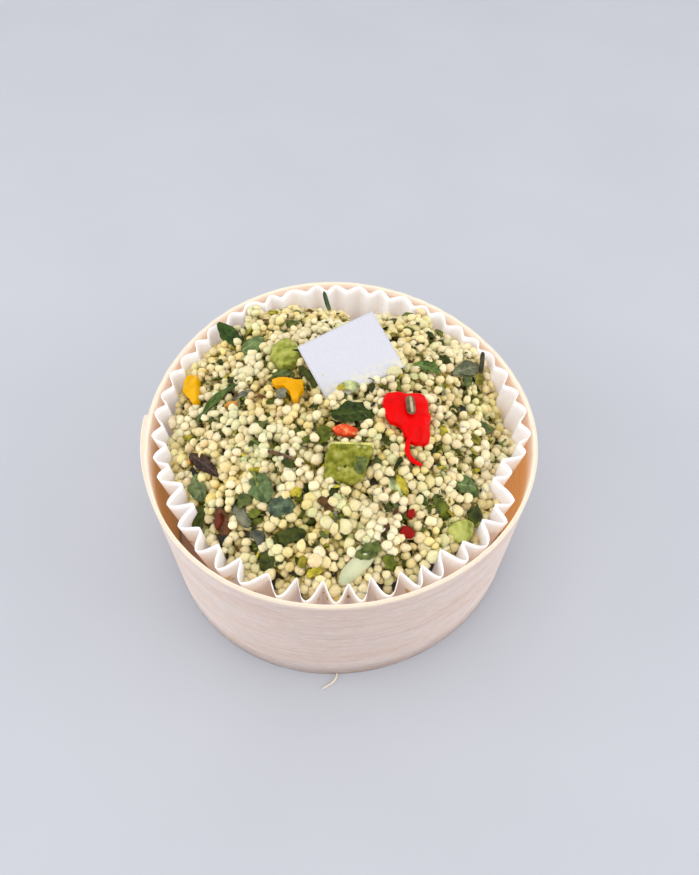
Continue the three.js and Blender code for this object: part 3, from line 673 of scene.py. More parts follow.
def ramp(tree, factor, *stops):
    """A colour ramp through (place, colour) stops. A stop's colour is RGBA or a grey number."""
    node = add_node(tree, "ShaderNodeValToRGB", [("Fac", factor)])
    elements = node.color_ramp.elements
    while len(elements) < len(stops):
        elements.new(0.5)
    for element, (place, colour) in zip(elements, stops):
        element.position = place
        element.color = colour if isinstance(colour, tuple) else (colour, colour, colour, 1)
    return node.outputs[0]


def noise(tree, coordinates, grain, detail=3, stretch=(1, 1, 1), **settings):
    """Noise whose main features are grain metres across, stretched along the axes."""
    scale = [1 / along for along in stretch]
    placed = add_node(tree, "ShaderNodeMapping", [("Vector", coordinates)], Scale=scale)
    links = [("Vector", placed.outputs[0])]
    node = add_node(tree, "ShaderNodeTexNoise", links, Scale=1 / grain, Detail=detail, **settings)
    return node.outputs[0]


def mix(tree, factor, first, second, blend="MIX"):
    """A colour mix. factor, first and second are sockets, numbers or colours."""
    node = add_node(tree, "ShaderNodeMix", data_type="RGBA", blend_type=blend)
    for place, value in ((0, factor), (6, first), (7, second)):
        if isinstance(value, bpy.types.NodeSocket):
            tree.links.new(value, node.inputs[place])
        else:
            node.inputs[place].default_value = value
    return node.outputs[2]


def bump(tree, shader, height, distance, strength=1.0):
    """Feeds the shader's normal from a bump of that many metres."""
    node = add_node(tree, "ShaderNodeBump", [("Height", height)], Distance=distance, Strength=strength)
    tree.links.new(node.outputs[0], shader.inputs["Normal"])


def solid(colour):
    """RGBA of a colour property."""
    return (*colour, 1.0)


def poplar_veneer(settings):
    """Rotary-cut poplar veneer, unfinished: pale and matt, with fine wavy fibres along the band,
    faint darker streaks and a nearly white cut edge. Its inner face has painted light: lighter near
    the rim and warm orange further down, with a painted glow that stands in for daylight shining
    warm through the thin wall."""
    material, tree, shader = new_material(
        "poplar veneer",
        Roughness=0.9,
        Specular_IOR_Level=0.0,
        Subsurface_Weight=0.7,
        Subsurface_Radius=(1.0, 0.62, 0.38),
        Subsurface_Scale=1.3 * MM,
        # painted glow: the inner face gives off light of its own, as its glow attribute sets
        Emission_Strength=0.5,
    )
    along_grain = add_node(tree, "ShaderNodeUVMap").outputs[0]
    fibres = noise(tree, along_grain, 0.34 * MM, 5, (10, 1, 1), Roughness=0.7, Distortion=0.3)
    streaks = noise(tree, along_grain, 1.3 * MM, 3, (14, 1, 1), Distortion=0.8)
    clouds = noise(tree, along_grain, 8 * MM, 2, (4, 1, 1))
    # painted light: the inner face is lighter near the rim and warm orange lower down
    inner = mix(tree, own_value(tree, "deep"), solid(settings.wood_inside), solid(settings.wood_deep))
    wood = mix(tree, own_value(tree, "inside"), solid(settings.wood), inner)
    marks = (
        (clouds, (0.35, 0), (0.7, 0.5), "#f3dfd0"),
        (streaks, (0.45, 0), (0.72, 0.35), "#dcc8ba"),
        (fibres, (0.4, 0), (0.68, 0.6), "#dccabf"),
    )
    for mark, clear, full, tone in marks:
        amount = ramp(tree, mark, clear, full)
        wood = mix(tree, amount, wood, mix(tree, 1, wood, linear(tone), "MULTIPLY"))
    colour = mix(tree, own_value(tree, "edge"), wood, linear("#e4d6c4"))
    tree.links.new(colour, shader.inputs["Base Color"])
    # painted glow colour, pale near the rim and warm orange lower down
    shine = mix(tree, own_value(tree, "deep"), linear("#eed8bc"), linear("#e6b070"))
    glow = mix(tree, own_value(tree, "glow"), (0, 0, 0, 1), shine)
    tree.links.new(glow, shader.inputs["Emission Color"])
    bump(tree, shader, fibres, 0.14 * MM, 0.8)
    return material


def greaseproof_paper(settings):
    """Greaseproof paper pressed into pleats: white and faintly translucent, with a fine fibre
    mottle, a waxy sheen, a painted glow for the light coming through it, painted warm light from the
    wood behind it in the folds, and oil where grains touch."""
    material, tree, shader = new_material(
        "greaseproof paper",
        Roughness=0.45,
        Specular_IOR_Level=0.4,
        Subsurface_Weight=0.6,
        Subsurface_Radius=(1.0, 0.8, 0.62),
        Subsurface_Scale=1.4 * MM,
        # painted glow: the paper gives off faint light of its own, standing in for light coming through
        # it
        Emission_Color=linear("#f8f5f6"),
        Emission_Strength=0.15,
    )
    where = where_on_object(tree)
    mottle = ramp(tree, noise(tree, where, 1.4 * MM, 4), (0.3, 0.94), (0.7, 1))
    paper = mix(tree, 1, solid(settings.paper), mottle, "MULTIPLY")
    # painted warm light from the wood, in the folds
    paper = mix(tree, own_value(tree, "warmth"), paper, linear("#f0c9a4"))
    paper = mix(tree, own_value(tree, "oil"), paper, linear("#ecd9a8"))
    tree.links.new(paper, shader.inputs["Base Color"])
    bump(tree, shader, noise(tree, where, 0.5 * MM, 2), 0.05 * MM, 0.5)
    return material


def steamed_couscous():
    """Steamed couscous: rolled semolina, moist and slightly translucent, so that its grains glow
    at their edges; fine crumbs make the surface rough. The colour comes grain by grain."""
    material, tree, shader = new_material(
        "steamed couscous",
        Roughness=0.42,
        IOR=1.42,
        Specular_IOR_Level=0.3,
        Subsurface_Weight=0.9,
        Subsurface_Radius=(1.0, 0.88, 0.66),
        Subsurface_Scale=1.3 * MM,
    )
    crumb = noise(tree, where_on_object(tree), 0.75 * MM, 3)
    shade = ramp(tree, crumb, (0.3, (0.9, 0.86, 0.76, 1)), (0.6, (1, 1, 1, 1)))
    base = mix(tree, 1, own_value(tree, "colour", "Color"), shade, "MULTIPLY")
    tree.links.new(base, shader.inputs["Base Color"])
    bump(tree, shader, crumb, 0.4 * MM, 0.8)
    return material


def shaded_couscous():
    """The inside of the heap, which shows only between grains: dark as wet couscous and as painted
    shade.
    """
    material, tree, shader = new_material("shaded couscous", Roughness=0.6)
    patches = noise(tree, where_on_object(tree), 5 * MM, 3)
    # painted shade: dark browns for the shade between grains
    colour = ramp(tree, patches, (0.35, linear("#2c2616")), (0.65, linear("#5a4a24")))
    tree.links.new(colour, shader.inputs["Base Color"])
    return material


def fresh_herb():
    """Wet mint and parsley: dark and glossy, a little paler on the midrib and the side veins, with
    the leaf puckered up between them. The colours come leaf by leaf, lighter and darker in patches:
    partly uneven colour, partly painted highlights of the wet gloss."""
    material, tree, shader = new_material(
        "fresh herb leaf",
        Roughness=0.4,
        IOR=1.4,
        Specular_IOR_Level=0.18,
        Coat_Weight=0.05,
        Coat_Roughness=0.12,
    )
    patches = noise(tree, where_on_object(tree), 1.9 * MM, 5)
    # lighter and darker patches: partly the leaf's own uneven colour, partly painted highlights of its
    # wet gloss
    shade = ramp(tree, patches, (0.34, (0.42, 0.46, 0.4, 1)), (0.64, (1.6, 1.5, 1.3, 1)))
    base = mix(tree, 1, own_value(tree, "colour", "Color"), shade, "MULTIPLY")
    tree.links.new(base, shader.inputs["Base Color"])
    bump(tree, shader, mix(tree, 0.6, patches, own_value(tree, "veins"), "SUBTRACT"), 0.3 * MM, 0.7)
    return material


def wet_vegetable(name, patch, dark, pale, seeds=0.0):
    """Raw cut vegetable: wet and translucent, in its own colour, with darker juicy patches about
    patch across and paler flesh between them, finely pitted. seeds is how much its seeds show."""
    material, tree, shader = new_material(
        name,
        Roughness=0.3,
        IOR=1.4,
        Specular_IOR_Level=0.08,
        Subsurface_Weight=0.15,
        Subsurface_Scale=1 * MM,
        Subsurface_Radius=(1.0, 0.6, 0.3),
        Coat_Weight=0.06,
        Coat_Roughness=0.08,
    )
    where = where_on_object(tree)
    flesh = own_value(tree, "colour", "Color")
    cells = noise(tree, where, patch, 4)
    juicy = mix(tree, 1, flesh, linear("#a8b490"), "MULTIPLY")
    colour = mix(tree, ramp(tree, cells, (0.36, dark), (0.5, 0)), flesh, juicy)
    colour = mix(tree, ramp(tree, cells, (0.5, 0), (0.66, pale)), colour, linear("#e2dd8c"))
    if seeds:
        spots = add_node(tree, "ShaderNodeTexVoronoi", [("Vector", where)], Scale=1 / SEED_SPACING)
        near = ramp(tree, spots.outputs["Distance"], (0.1, seeds), (0.2, 0))
        colour = mix(tree, near, colour, linear("#e4e0a4"))
    tree.links.new(colour, shader.inputs["Base Color"])
    bump(tree, shader, noise(tree, where, 0.7 * MM, 3), 0.25 * MM, 0.4)
    return material


def uncoated_card():
    """Uncoated white card, guillotined: matt, faintly cool, with a slight tooth, and damp along the
    edge that stands in the salad."""
    material, tree, shader = new_material("uncoated card", Roughness=0.55, Specular_IOR_Level=0.4)
    tooth = noise(tree, where_on_object(tree), 0.4 * MM, 3)
    dry = ramp(tree, tooth, (0.3, linear("#c6c6cd")), (0.7, linear("#cfcfd7")))
    blotches = ramp(tree, noise(tree, where_on_object(tree), 1.6 * MM, 3), (0.45, 0), (0.6, 1))
    damp = mix(tree, 1, own_value(tree, "damp"), blotches, "MULTIPLY")
    tree.links.new(mix(tree, damp, dry, linear("#dfd9b8")), shader.inputs["Base Color"])
    bump(tree, shader, tooth, 0.03 * MM, 0.4)
    return material


def pale_floor(settings):
    """Plain pale floor with a hardly visible unevenness."""
    material, tree, shader = new_material("pale floor", Roughness=0.7, Specular_IOR_Level=0.3)
    shade = ramp(tree, noise(tree, where_on_object(tree), 60 * MM, 2), (0.3, 0.97), (0.7, 1))
    tree.links.new(mix(tree, 1, solid(settings.floor), shade, "MULTIPLY"), shader.inputs["Base Color"])
    return material


# ------------------------------------------------------------------ box and liner


def veneer_band(settings, columns=540, rows=20):
    """Bent veneer band: the profile of its section, outer face up, rim and inner face down, carried
    round the circle at the band's radius. The outer face adds the lap; the rim adds a wobble. The
    inner face gets a painted glow, stronger on the right side, standing in for light from the left
    that shines through the wall, and painted warm light lower down."""
    degrees = -180 + np.arange(columns) * (360 - LAP_CLEFT) / (columns - 1)
    round_off = settings.rim_rounding
    climb = np.linspace(0, 1, rows) ** 0.6 * (BOX_TOP - round_off)
    arc = np.radians(np.linspace(0, 90, 4))[1:]
    inset = np.concatenate([np.zeros(rows), round_off * (1 - np.cos(arc))])[:, None]
    height = np.concatenate([climb, BOX_TOP - round_off * (1 - np.sin(arc))])[:, None]
    wobble = settings.rim_wobble * 0.5 * (ring_waves(degrees, 7, 30, 5) - 1)
    height = height + (height / BOX_TOP) ** 12 * wobble
    outer = band_radius(degrees) + lap(degrees) - inset
    inner = band_radius(degrees) - settings.veneer + inset
    radius = np.concatenate([outer, inner[::-1]])
    z = np.concatenate([height, height[::-1]])
    turn = np.radians(degrees)
    points = np.stack([*from_middle(radius, degrees), z], -1)
    inside = np.zeros_like(z)
    inside[len(outer) :] = 1
    edge = (z > BOX_TOP - round_off - EDGE_BAND).astype(float)
    # painted warm light: the inner face turns from lighter to warm orange with the depth below the rim
    deep = smooth_step((BOX_TOP - z - WARMTH_START) / WARMTH_DEPTH)
    # painted glow: lower down stronger on the right (+X) side and weaker on the left, standing in for
    # light from the left shining through the wall
    sunny = 0.5 + 0.5 * np.cos(turn)
    down = smooth_step((BOX_TOP - round_off - z) / GLOW_DEPTH)
    glow = inside * (GLOW + (GLOW_WON * sunny - GLOW_LOST) * down)
    uv = np.stack([turn * BOX_RADIUS + 0 * z, z + 0.2 * inside], -1)
    return make_piece(
        "veneer_band",
        points.reshape(-1, 3),
        [grid_faces(*z.shape, wrap_rows=True, wrap_cols=True)],
        poplar_veneer(settings),
        "poplar_veneer",
        ["box_wall"],
        uv=uv.reshape(-1, 2),
        inside=inside.ravel(),
        edge=edge.ravel(),
        deep=deep.ravel(),
        glow=glow.ravel(),
    )


def liner_wave(phase, rounding):
    """0 at an outward fold and 1 at an inner tip: a zigzag blended with a wave whose inner tips are
    narrower than its outward folds."""
    zigzag = 1 - np.abs(2 * (phase % 1) - 1)
    soft = (0.5 - 0.5 * np.cos(2 * np.pi * phase)) ** TIP_POWER
    return (1 - rounding) * zigzag + rounding * soft


def liner_radius(settings, degrees, level):
    """Outer radius of the pleated paper: the fold radius less the pleat's depth times the wave,
    both uneven from pleat to pleat. Near the top the folds lean out against the veneer."""
    uneven = settings.pleat_wander
    phase = pleat_phase(degrees) + 0.4 * uneven * ring_waves(degrees, 3, 12, 4)
    depth = pleat_depth(degrees, level) * (1 + 0.5 * uneven * (ring_waves(degrees, 5, 14, 9) - 0.6))
    lean = 0.75 * LINER_GAP * smooth_step((level - 0.7) / 0.3)
    return fold_radius(degrees, level) + lean - depth * liner_wave(phase, settings.pleat_rounding)


def pleated_liner(settings, columns_each=20, rows=22):
    """Pleated cup: radius(angle, height) carried up the wall, over its top edge and down inside at
    the paper's thickness, closed by a floor."""
    columns = PLEATS * columns_each
    degrees = np.arange(columns) * 360 / columns - 180
    level = np.linspace(0, 1, rows)[:, None]
    rise = settings.paper_rise + TOP_WANDER * (ring_waves(degrees, 11, 16, 6) - 1)
    height = LINER_FLOOR + (LINER_TOP - LINER_FLOOR) * level + rise * level**6
    outer = liner_radius(settings, degrees, level)
    inner = outer - settings.paper_thickness
    radius = np.concatenate([outer, inner[::-1]])
    z = np.concatenate([height, (height + PAPER_FLOOR * (1 - level))[::-1]])
    points = np.stack([*from_middle(radius, degrees), z], -1).reshape(-1, 3)
    centres = np.array([[0, 0, LINER_FLOOR], [0, 0, LINER_FLOOR + PAPER_FLOOR]])
    first_row = np.arange(columns)
    faces = [
        grid_faces(2 * rows, columns, wrap_cols=True),
        fan_faces(first_row, len(points), flip=True),
        fan_faces(first_row + (2 * rows - 1) * columns, len(points) + 1),
    ]
    fold = 1 - liner_wave(pleat_phase(degrees), 1)
    # painted warm light: outer faces warmer further below the top, inner faces a little in the folds,
    # as the wood's warm bounce light would make them
    outside = 0.05 + 0.45 * smooth_step((LINER_TOP - height) / WALL_WARMTH)
    warmth = np.concatenate([outside + 0 * outer, 0.1 * fold**2 + 0 * inner])
    touched = smooth_step((edge_height(degrees) + OIL_REACH - height) / OIL_FADE)
    oil = 0.4 * touched * smooth_step(ring_waves(degrees * 3, 23, 10, 5) + 0.3)
    oil = np.concatenate([0.3 * oil, oil[::-1]])
    make_piece(
        "pleated_liner",
        np.concatenate([points, centres]),
        faces,
        greaseproof_paper(settings),
        "liner_paper",
        ["paper_liner"],
        warmth=np.append(warmth.ravel(), [0, 0]),
        oil=np.append(oil.ravel(), [0, 0]),
    )


# ------------------------------------------------------------------ leaves and herbs


def leaf_sheets(size, rows, cols, rng, notch=0.0, crinkle=0.0):
    """Leaves as closed sheets (n, 2, rows, cols, 3). size holds arrays of length, width, thick,
    arch, fold, ripple and blunt. Along u and across v, from -1 to 1, half the width is
    (0.12 + 0.88 * (1 - |u|^blunt)^0.6) with seeded notches, different on each side, and the middle
    surface is -arch u^2 + fold v^2 + ripple sin(5u + 2v), with a finer crinkle."""
    u = np.linspace(-1, 1, rows)[None, :, None]
    v = np.linspace(-1, 1, cols)[None, None, :]
    part = {key: np.asarray(value, float).reshape(-1, 1, 1) for key, value in size.items()}
    total = len(part["length"])

    def drawn(low, high):
        return rng.uniform(low, high, (total, 1, 1))

    half = part["width"] / 2 * (0.12 + 0.88 * (1 - np.abs(u) ** part["blunt"]) ** 0.6)
    slow = np.sin(u * drawn(3, 6) + drawn(0, 6) + np.sign(v) * drawn(0, 3))
    quick = np.sin(u * drawn(9, 16) + drawn(0, 6) + np.sign(v) * drawn(0, 3))
    half = half * (1 + notch * (slow + 0.6 * quick))
    x = part["length"] / 2 * u + 0 * v
    y = half * v + notch * part["width"] * 0.6 * np.sin(2 * u + drawn(0, 6))
    across = half * v / (part["width"] / 2)
    middle = -part["arch"] * u**2 + part["fold"] * across**2
    middle = middle + part["ripple"] * np.sin(5 * u + 2 * across)
    fine = np.sin(11 * u + 5 * across + drawn(0, 6)) * np.cos(9 * across - 4 * u)
    middle = middle + crinkle * part["width"] * fine
    thin = part["thick"] / 2 * (1 - 0.75 * np.maximum(np.abs(u), np.abs(v)) ** 6)
    return np.stack([np.stack([x, y, middle + side * thin], -1) for side in (1, -1)], 1)


def vein_share(rows, cols, pairs=6):
    """1 on the midrib and the side veins and 0 between them, over the two sides of a sheet: narrow
    bells over |v| and over the distance to the nearest slanted line."""
    u = np.linspace(-1, 1, rows)[:, None]
    v = np.linspace(-1, 1, cols)[None, :]
    midrib = np.exp(-((v / 0.07) ** 2)) + 0 * u
    line = (u - 0.45 * np.abs(v)) * pairs / 2
    side = np.exp(-(((line - np.round(line)) / 0.1) ** 2)) * (1 - v**2) * 0.6
    return np.tile(np.maximum(midrib, side).ravel(), 2)


def put_in_place(shapes, places, turns):
    """Turns shapes (n, ..., 3) and moves them to their places: (n, points each, 3)."""
    return shapes.reshape(len(shapes), -1, 3) @ turns.transpose(0, 2, 1) + places[:, None]


def on_heap(x, y, lift):
    """Places (n, 3) at x and y, lift above the heap."""
    return np.stack([x, y, heap_height(x, y) + lift], -1)


def leaf_row(row):
    """Size, place, turn and colours of a row of LEAVES, its size as arrays of one."""
    _, x, y, heading, lift, long, wide, arch, fold, ripple, blunt, pitch, face, vein = row
    size = {"length": long, "width": wide, "arch": arch, "fold": fold, "ripple": ripple}
    size = {key: np.array([value * MM]) for key, value in size.items()}
    size["thick"] = np.array([LEAF_THICKNESS])
    size["blunt"] = np.array([blunt])
    x, y = np.array([x * MM]), np.array([y * MM])
    turn = heap_frames(x, y, heading) @ turn_about(1, np.radians(pitch))
    return size, on_heap(x, y, lift * MM - LEAF_SINK), turn, linear(face)[:3], linear(vein)[:3]


def larger_leaves(material, rng, rows=49, cols=25):
    """Each larger leaf in its place on the heap, its face drawn towards its veins' colour."""
    veins = vein_share(rows, cols)
    for row in LEAVES:
        size, place, turn, face, vein = leaf_row(row)
        sheet = leaf_sheets(size, rows, cols, rng, notch=0.08, crinkle=0.02)
        colour = np.array(face) + 0.55 * veins[:, None] * (np.array(vein) - np.array(face))
        make_piece(
            row[0] + "_surface",
            put_in_place(sheet, place, turn)[0],
            [sheet_faces(rows, cols)],
            material,
            "purple_leaf" if row[0].startswith("purple") else "mint_leaf",
            [row[0]],
            colour=colour,
            veins=veins * 0.4,
        )


def herb_bits():
    """Size, places, turns and colours of the herbs in HERB_BITS."""
    table = np.array([row[:6] for row in HERB_BITS], float).T
    x, y, heading, long, wide, lift = table[0] * MM, table[1] * MM, table[2], *(table[3:] * MM)
    rng = np.random.default_rng(3)
    total = len(x)
    size = {
        "length": long,
        "width": wide,
        "thick": np.full(total, BIT_THICKNESS),
        "arch": 0.1 * long,
        "fold": rng.uniform(-0.12, 0.2, total) * wide,
        "ripple": rng.uniform(0, 0.05, total) * long,
        "blunt": rng.uniform(1.6, 3.5, total),
    }
    colour = np.array([linear(HERB_COLOURS[row[6]])[:3] for row in HERB_BITS])
    return size, on_heap(x, y, lift - LEAF_SINK), heap_frames(x, y, heading), colour


def herb_colours(total, rng):
    """Colours of that many small flakes, drawn by their shares, each a little lighter or darker."""
    colours = np.array([linear(colour)[:3] for colour in HERB_COLOURS.values()])
    return colours[rng.choice(len(colours), total, p=HERB_SHARES)] * rng.uniform(0.7, 1.3, (total, 1))


def scattered_flakes(settings):
    """Size, places, turns and colours of the small flakes, drawn by seed over the whole heap."""
    rng = np.random.default_rng(settings.seed + 1)
    total = settings.flakes
    long = rng.lognormal(np.log(FLAKE_LENGTH), FLAKE_SPREAD, total).clip(*FLAKE_LIMITS) * MM
    size = {
        "length": long,
        "width": long * rng.uniform(*FLAKE_SHAPES, total),
        "thick": np.full(total, FLAKE_THICKNESS),
        "arch": rng.uniform(0, 0.2, total) * long,
        "fold": rng.uniform(-0.16, 0.2, total) * long,
        "ripple": rng.uniform(0, 0.05, total) * long,
        "blunt": rng.uniform(1.4, 4, total),
    }
    x, y = scatter(rng, total, lambda degrees: heap_edge(degrees) - 0.45 * long)
    places = on_heap(x, y, clump_rise(settings, x, y) + rng.uniform(*FLAKE_LEVELS, total) * MM)
    for cover in covers():
        press_down(places, np.full(total, 0.5 * MM), cover)
    tilt = turn_about(0, rng.normal(0, 0.4, total)) @ turn_about(1, rng.normal(0, 0.3, total))
    turns = heap_frames(x, y, rng.uniform(-180, 180, total)) @ tilt
    colours = herb_colours(total, rng)
    clear = np.any(np.abs((places - np.array(CARD_CENTRE)) @ card_turn()) > np.array(CARD_ROOM), 1)
    size = {key: value[clear] for key, value in size.items()}
    return size, places[clear], turns[clear], colours[clear]


def clump_rise(settings, x, y):
    """How far clumps of grains stand above the heap's mean height."""
    return settings.clumps * waves(x, y, np.random.default_rng(settings.seed + 2), CLUMP, 9)


def herb_piece(name, layout, material, rows, cols, seed):
    """One piece of all the leaves of a layout, as closed sheets of a few dozen faces."""
    size, places, turns, colour = layout
    total, each = len(places), 2 * rows * cols
    sheets = leaf_sheets(size, rows, cols, np.random.default_rng(seed), notch=0.16)
    make_piece(
        name,
        put_in_place(sheets, places, turns).reshape(-1, 3),
        [copies_of_faces(sheet_faces(rows, cols), total, each)],
        material,
        "mint_leaf",
        colour=np.repeat(colour, each, 0),
        veins=np.tile(vein_share(rows, cols, 4) * 0.3, total),
    )


def strip_along(path, width, thick, steps=28, around=12):
    """A strip carried along a Bezier curve through the control points: an ellipse as wide and thick
    as given, its width level, closing to a point at both ends as (1 - |2t - 1|^6)^(1/2)."""
    t = np.linspace(0, 1, steps)[:, None]
    control = np.array(path, float) * MM
    order = len(control) - 1
    binomial = [1, 2, 1] if order == 2 else [1, 3, 3, 1]
    weight = np.concatenate([binomial[k] * t**k * (1 - t) ** (order - k) for k in range(order + 1)], 1)
    middle = weight @ control
    ahead = np.gradient(middle, axis=0)
    ahead /= np.linalg.norm(ahead, axis=1, keepdims=True)
    side = np.cross([0, 0, 1], ahead)
    side /= np.linalg.norm(side, axis=1, keepdims=True)
    up = np.cross(ahead, side)
    swell = np.sqrt(np.maximum(1 - np.abs(2 * t - 1) ** 6, 0.01))[..., None]
    turn = np.arange(around)[None, :, None] * 2 * np.pi / around
    ring = np.cos(turn) * side[:, None] * width / 2 + np.sin(turn) * up[:, None] * thick / 2
    points = (middle[:, None] + ring * swell * MM).reshape(-1, 3)
    return np.concatenate([points, middle[:1], middle[-1:]]), globe_faces(steps, around)


def herb_strips(material):
    """Stalks and narrow strips of leaf, joined into one piece."""
    shapes = [strip_along(*row[:3]) for row in HERB_STRIPS]
    colour = np.concatenate([painted(shape[0], row[3]) for row, shape in zip(HERB_STRIPS, shapes)])
    points, faces = join(shapes)
    none = 0 * points[:, 0]
    make_piece("herb_strips", points, faces, material, "mint_leaf", colour=colour, veins=none)


def frayed_fibre(material):
    """A fibre of wood come loose at the foot of the band, a strip along a curve on the table."""
    points, faces = strip_along(*FRAYED_FIBRE)
    none = 0 * points[:, 0]
    make_piece(
        "frayed_fibre",
        points,
        faces,
        material,
        "poplar_veneer",
        uv=points[:, :2],
        inside=none,
        edge=none + 1,
        deep=none,
        glow=none,
    )


# ------------------------------------------------------------------ vegetables


def outline_reach(turn, corners, softening=0.035):
    """Distance from the middle to the outline in the direction turn. Between corners at (a, r) and
    (b, s) it is the straight line r s sin(b - a) / (r sin(t - a) + s sin(b - t)); the mean over
    five directions, softening apart, rounds the corners."""
    angles = np.radians([corner[0] for corner in corners])
    reach = np.array([corner[1] for corner in corners])
    span = np.diff(angles, append=angles[0] + 2 * np.pi)
    total = 0
    for step in range(-2, 3):
        since = (turn + softening * step - angles[0]) % (2 * np.pi)
        at = np.searchsorted(angles - angles[0], since, side="right") - 1
        past, first, second = since - (angles[at] - angles[0]), reach[at], reach[(at + 1) % len(reach)]
        total = total + first * second * np.sin(span[at]) / (
            first * np.sin(past) + second * np.sin(span[at] - past)
        )
    return total / 5


def cut_piece(corners, thick, arch, seed, boxy=0.3, rows=30, columns=84):
    """A cut piece of vegetable: its outline carried from the lowest to the highest point, with both
    the reach and the height as a cosine and sine to the power boxy, bent down by arch times the
    square of the distance out, and with seeded lumps on its faces."""
    rng = np.random.default_rng(seed)
    lift = np.radians(np.linspace(-90, 90, rows + 2)[1:-1])[:, None]
    turn = np.radians(np.arange(columns) * 360 / columns)[None, :]
    outline = outline_reach(turn, corners) * MM * (1 + 0.02 * np.sin(7 * turn + 2 * seed))
    reach = np.cos(lift) ** boxy
    x, y = outline * reach * np.cos(turn), outline * reach * np.sin(turn)
    z = np.sign(lift) * np.abs(np.sin(lift)) ** boxy * thick / 2 * MM + 0 * x
    z = z + 0.12 * thick * MM * waves(x, y, rng, 4 * MM, 5) * reach
    z = z - arch * MM * (x**2 + y**2) / outline.max() ** 2
    ends = np.array([[0, 0, -thick / 2], [0, 0, thick / 2]]) * MM
    return np.concatenate([np.stack([x, y, z], -1).reshape(-1, 3), ends]), globe_faces(rows, columns)


def cut_frame(x, y, lift):
    """Place and turn of a cut piece."""
    x, y = np.array([x * MM]), np.array([y * MM])
    return on_heap(x, y, lift * MM)[0], heap_frames(x, y, 0)[0]


def vegetable_materials():
    """The finish of each kind of vegetable."""
    return {
        "yellow_pepper": wet_vegetable("diced yellow pepper", 3 * MM, 0.25, 0.04),
        "green_tomato": wet_vegetable("diced green tomato", 2.2 * MM, 0.8, 0.3, seeds=0.35),
        "carrot": wet_vegetable("grated carrot", 1.5 * MM, 0.3, 0.35),
        "red_pepper": wet_vegetable("roasted red pepper", 4 * MM, 0.2, 0),
        "white_onion": wet_vegetable("raw white onion", 5 * MM, 0.25, 0.3),
    }


def cut_vegetables(materials):
    """Each cut piece in its place on the heap."""
    for seed, (node, x, y, lift, thick, arch, slot, colour, corners) in enumerate(CUT_PIECES):
        points, faces = cut_piece(corners, thick, arch, seed + 1)
        place, turn = cut_frame(x, y, lift)
        points = points @ turn.T + place
        own = painted(points, colour)
        make_piece(node + "_surface", points, faces, materials[slot], slot, [node], colour=own)


def vegetable_bits(material):
    """Small bits of vegetable, joined into one piece."""
    shapes, colours = [], []
    for seed, (x, y, lift, thick, arch, colour, corners) in enumerate(VEGETABLE_BITS):
        points, faces = cut_piece(corners, thick, arch, seed + 20, rows=12, columns=28)
        place, turn = cut_frame(x, y, lift)
        shapes.append((points @ turn.T + place, faces))
        colours.append(painted(points, colour))
    own = np.concatenate(colours)
    make_piece("vegetable_bits", *join(shapes), material, "red_pepper", colour=own)


def red_curl(material):
    """The curl of skin below the red pepper, a strip along a curve."""
    points, faces = strip_along(*RED_CURL)
    node, own = "red_pepper_curl", painted(points, RED_SKIN)
    make_piece(node + "_surface", points, faces, material, "red_pepper", [node], colour=own)


def onion_strip(material, rows=31, cols=15):
    """The strip of white onion at the front, a blunt sheet."""
    x, y, heading, lift, colour = ONION_STRIP
    x, y = np.array([x * MM]), np.array([y * MM])
    size = {key: [value * MM] for key, value in ONION_SHEET.items()}
    sheet = leaf_sheets({**size, "blunt": [3.4]}, rows, cols, np.random.default_rng(6), notch=0.04)
    points = put_in_place(sheet, on_heap(x, y, lift * MM), heap_frames(x, y, heading))[0]
    faces = [sheet_faces(rows, cols)]
    node, own = "onion_strip", painted(points, colour)
    make_piece(node + "_surface", points, faces, material, "white_onion", [node], colour=own)


# ------------------------------------------------------------------ couscous


def heap_core(clear, columns=180, rows=26):
    """The inside of the heap: the heap's height lowered by clear, with low bumps, then straight
    down to the liner's floor."""
    degrees = np.arange(columns) * 360 / columns - 180
    reach = np.linspace(0, 1, rows + 1)[1:, None]
    x, y = from_middle(reach * (heap_edge(degrees) - CORE_CLEAR), degrees)
    bumps = CORE_BUMPS * np.sin(x / (1.3 * MM)) * np.sin(y / (1.1 * MM) + 1)
    z = heap_height(x, y) - clear + bumps
    floor = LINER_FLOOR + CORE_FLOOR
    foot = fold_radius(degrees, 0) - pleat_depth(degrees, 0) - PAPER_RADIAL - HEAP_CLEAR
    foot_x, foot_y = from_middle(foot, degrees)
    x = np.concatenate([[foot_x], x[::-1]])
    y = np.concatenate([[foot_y], y[::-1]])
    z = np.concatenate([np.full((1, columns), floor), z[::-1]])
    points = np.stack([x, y, z], -1).reshape(-1, 3)
    centres = np.array([[0, 0, floor], [0, 0, CROWN - clear]])
    faces = globe_faces(rows + 1, columns)
    points = np.concatenate([points, centres])
    make_piece("couscous_core", points, faces, shaded_couscous(), "couscous", ["salad_heap"])


def paper_limit(box, degrees, radius):
    """Largest distance from the middle at which a grain of that radius stays inside the paper."""
    level = (edge_height(degrees) - LINER_FLOOR) / (LINER_TOP - LINER_FLOOR)
    span = np.degrees(0.7 * radius / BOX_RADIUS)
    walls = [liner_radius(box, degrees + step * span, level) for step in (-1, -0.5, 0, 0.5, 1)]
    return np.min(walls, 0) - box.paper_thickness - 0.75 * radius


def draw_grains(settings, box, rng):
    """Centres and radii of the grains, drawn evenly over the heap and through the depth of its
    layers, and the highest that each may reach."""
    total = settings.grains
    radius = settings.grain / 2 * rng.lognormal(-0.01, GRAIN_SPREAD, total).clip(*GRAIN_LIMITS)
    x, y = scatter(rng, total, lambda degrees: paper_limit(box, degrees, radius))
    rise = clump_rise(settings, x, y) + rng.normal(0, GRAIN_RISE, total)
    centre = np.stack([x, y, heap_height(x, y) + rise - settings.layer * rng.random(total)], -1)
    return centre, radius, rise


